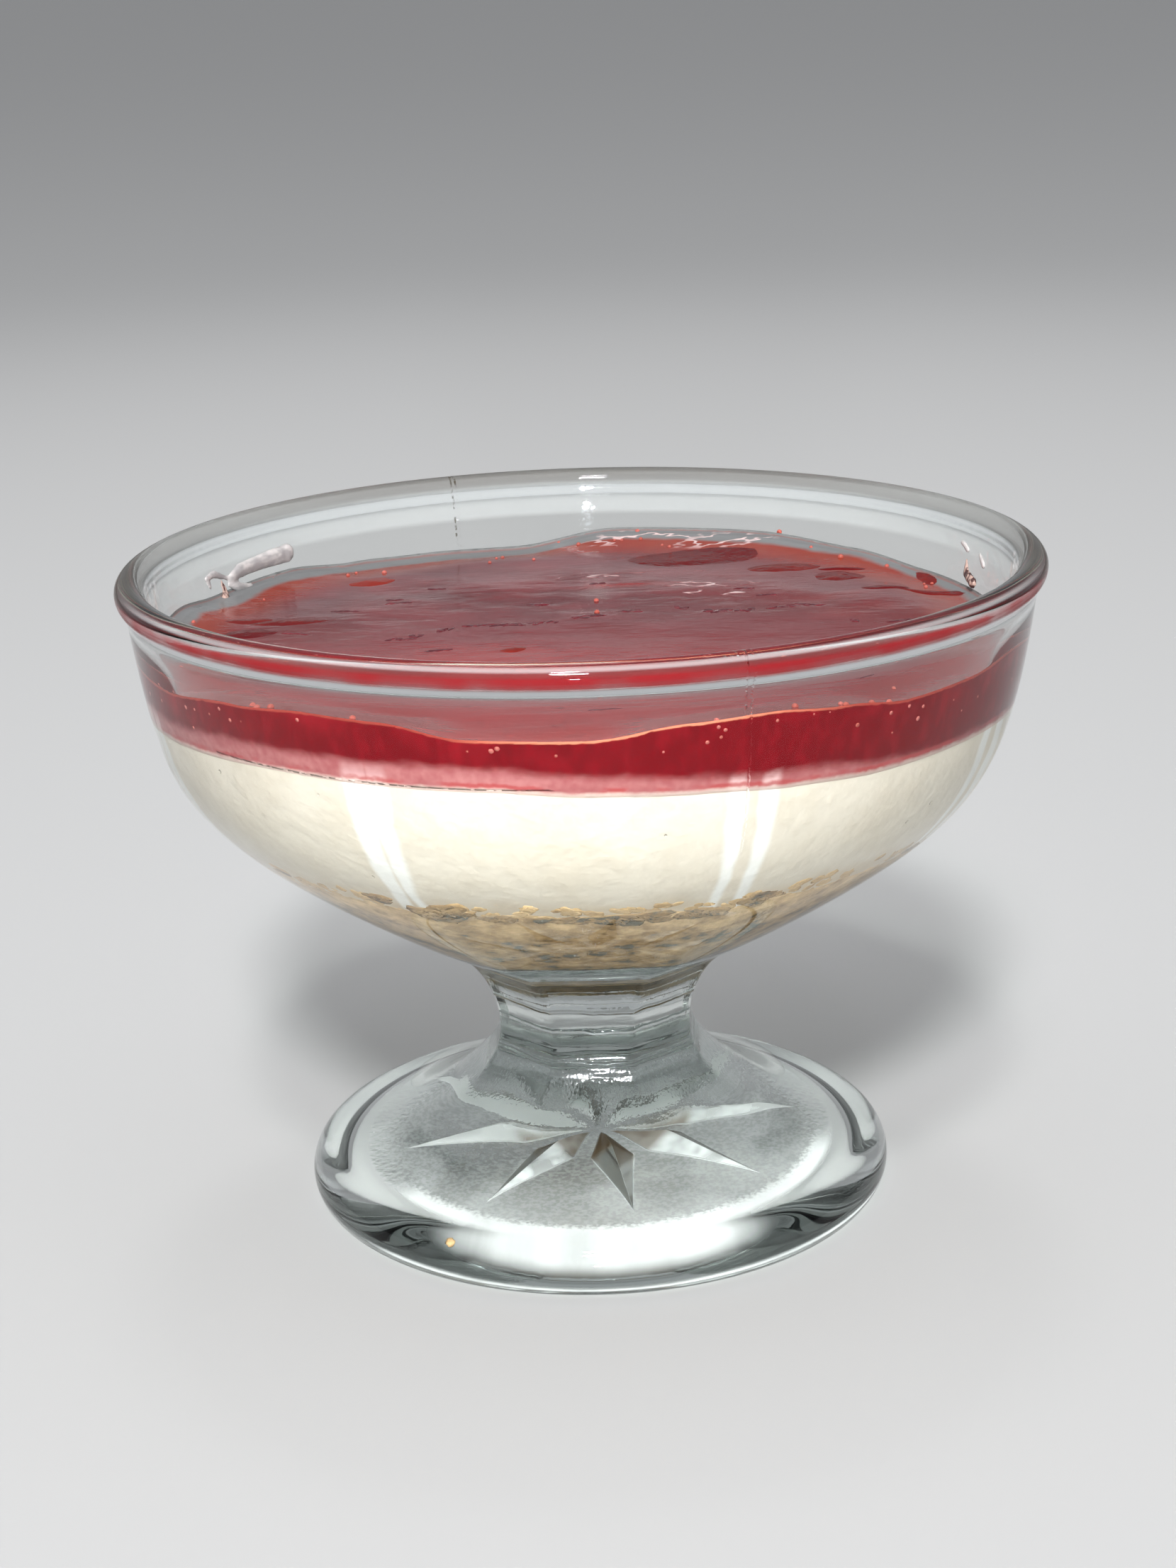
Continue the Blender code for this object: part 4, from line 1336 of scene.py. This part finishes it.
# The drawn-up points: two small spikes of jelly that a spoon pulled up the glass, one on
# each side.

POINTS_OF_JELLY = (
    ((-115.6, 0.0712, 0.0009), (-116.2, 0.0722, 0.0005), (-116.0, 0.0737, 0.00022)),
    ((105.3, 0.0722, 0.0008), (108.0, 0.0729, 0.0006), (108.8, 0.0745, 0.00022)),
)
POINT_THICKNESS = 0.8
POINT_BROWN = (0.060, 0.028, 0.026)
POINT_PALE = (0.40, 0.27, 0.23)
points_of_jelly = daub("jelly_points_on_the_glass", POINTS_OF_JELLY, POINT_THICKNESS, random.Random(4))
point_finish, place, surface = finish_of("drawn_up_jelly", Roughness=0.18, IOR=1.37)
veined = place.stretched((2.0, 2.0, 1.0)).noise(0.0011)
surface(Base_Color=veined.between(0.42, 0.60).tint(POINT_BROWN, POINT_PALE), Normal=veined.bump(0.0002))
points_of_jelly.data.materials.append(point_finish)
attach(points_of_jelly, "root")

# The crumb on the foot: one crumb of biscuit that fell on the rolled edge of the foot, in
# front and to the left. It is a few small lumps pressed together.

CRUMB_ON_FOOT = Vector((-0.0176, -0.0303, 0.0061))
CRUMB_LUMPS = 4
CRUMB_SPREAD = 0.00030
CRUMB_LUMP_SIZE = (0.00036, 0.00055)
draw = random.Random(8)
placings = []
for lump in range(CRUMB_LUMPS):
    spot = CRUMB_ON_FOOT + Vector([draw.uniform(-CRUMB_SPREAD, CRUMB_SPREAD) for axis in "XYZ"])
    size = draw.uniform(*CRUMB_LUMP_SIZE)
    placings.append((placed(spot, (size, size, 0.8 * size)), draw.uniform(0.7, 1.0), None))
fallen = scattered("crumb_on_the_foot", placings, 0.20, draw)
fallen.data.materials.append(bpy.data.materials["loose_biscuit_crumbs"])
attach(fallen, "root")

# The floor: a plain pale surface that the coupe stands on. A key lamp high in front, a low
# lamp and a lamp for the glints light the glass, a spot lights the floor behind it, and the
# room is bright overhead and darker round the sides, most of all in front.

FLOOR_GREY = (0.46, 0.46, 0.46, 1.0)
FLOOR_SIZE = 60.0
bpy.ops.object.select_all(action="DESELECT")
bpy.ops.mesh.primitive_plane_add(size=FLOOR_SIZE, location=(0.0, 0.0, 0.0))
floor = bpy.context.object
floor.name = "floor"
paint, place, surface = finish_of("pale_floor", Base_Color=FLOOR_GREY, Roughness=0.8)
floor.data.materials.append(paint)

# Each lamp: name, azimuth, elevation, distance, size, power, colour, and the place it aims at.
LAMPS = (
    ("key_lamp", -6.0, 55.0, 1.6, 0.15, 8.0, (1.0, 1.0, 0.99), (0.0, 0.0, 0.05)),
    ("front_lamp", -2.0, 5.0, 1.3, 0.06, 8.0, (0.94, 1.0, 1.05), (0.0, 0.0, 0.05)),
    ("glint_lamp", -4.0, 41.0, 1.3, 0.17, 17.0, (1.0, 1.0, 1.0), (0.0, 0.0, 0.02)),
)
FLOOR_LAMP_PLACE = (0.0, 0.42, 1.1)
FLOOR_LAMP_POWER = 13.5
FLOOR_LAMP_CONE = math.radians(58.0)
FLOOR_LAMP_RADIUS = 0.10
for name, azimuth, elevation, distance, size, power, colour, aim in LAMPS:
    tilt = Matrix.Rotation(math.radians(90.0 - elevation), 4, "X")
    turn = Matrix.Rotation(math.radians(azimuth), 4, "Z") @ tilt
    bpy.ops.object.light_add(type="AREA")
    lamp = bpy.context.object
    lamp.name = name
    lamp.matrix_world = Matrix.Translation(Vector(aim) + turn @ Vector((0.0, 0.0, distance))) @ turn
    lamp.data.shape = "DISK"
    lamp.data.size = size
    lamp.data.energy = power
    lamp.data.color = colour
bpy.ops.object.light_add(type="SPOT", location=FLOOR_LAMP_PLACE)
lamp = bpy.context.object
lamp.name = "floor_lamp"
lamp.data.energy = FLOOR_LAMP_POWER
lamp.data.spot_size = FLOOR_LAMP_CONE
lamp.data.spot_blend = 1.0
lamp.data.shadow_soft_size = FLOOR_LAMP_RADIUS
lamp.visible_glossy = lamp.visible_transmission = False

# The room's grey from the floor up, behind the camera and behind the glass.
ROOM_BEFORE = (
    (0.50, (0.14, 0.14, 0.145)), (0.60, (0.17, 0.17, 0.175)), (0.70, (0.30, 0.30, 0.31)),
    (0.82, (0.52, 0.53, 0.54)), (1.00, (0.62, 0.63, 0.65)),
)
ROOM_BEHIND = (
    (0.50, (0.46, 0.47, 0.49)), (0.56, (0.52, 0.53, 0.55)), (0.61, (0.52, 0.53, 0.55)),
    (0.66, (0.38, 0.385, 0.395)), (0.72, (0.36, 0.365, 0.375)), (0.84, (0.52, 0.53, 0.54)),
    (1.00, (0.62, 0.63, 0.65)),
)
world = bpy.data.worlds.new("studio")
bpy.context.scene.world = world
world.use_nodes = True
sky = world.node_tree
direction = Field(sky, sky.nodes.new("ShaderNodeTexCoord").outputs["Generated"])
rise = direction.axis("Z") * 0.5 + 0.5
before = rise.node("ShaderNodeValToRGB", {0: rise}, stops=ROOM_BEFORE)
behind = rise.node("ShaderNodeValToRGB", {0: rise}, stops=ROOM_BEHIND)
light = direction.axis("Y").between(0.35, 0.80).tint(before, behind)
sky.links.new(light.socket, sky.nodes["Background"].inputs["Color"])
sky.nodes["Background"].inputs["Strength"].default_value = 1.0

# The camera stands where the photograph was taken: at arm's length, a little above the rim.
CAMERA_PLACE = (0.0, -0.3415, 0.1542)
CAMERA_PITCH = math.radians(16.68)
CAMERA_ROLL = math.radians(-1.92)
CAMERA_LENS = 67.37
bpy.ops.object.camera_add(location=CAMERA_PLACE)
camera = bpy.context.object
camera.matrix_world = (
    Matrix.Translation(CAMERA_PLACE)
    @ Matrix.Rotation(0.5 * math.pi - CAMERA_PITCH, 4, "X")
    @ Matrix.Rotation(CAMERA_ROLL, 4, "Z")
)
camera.data.lens = CAMERA_LENS
camera.data.sensor_width = 36.0
camera.data.clip_start = 0.01
bpy.context.scene.camera = camera

bpy.context.scene.view_settings.view_transform = "Standard"
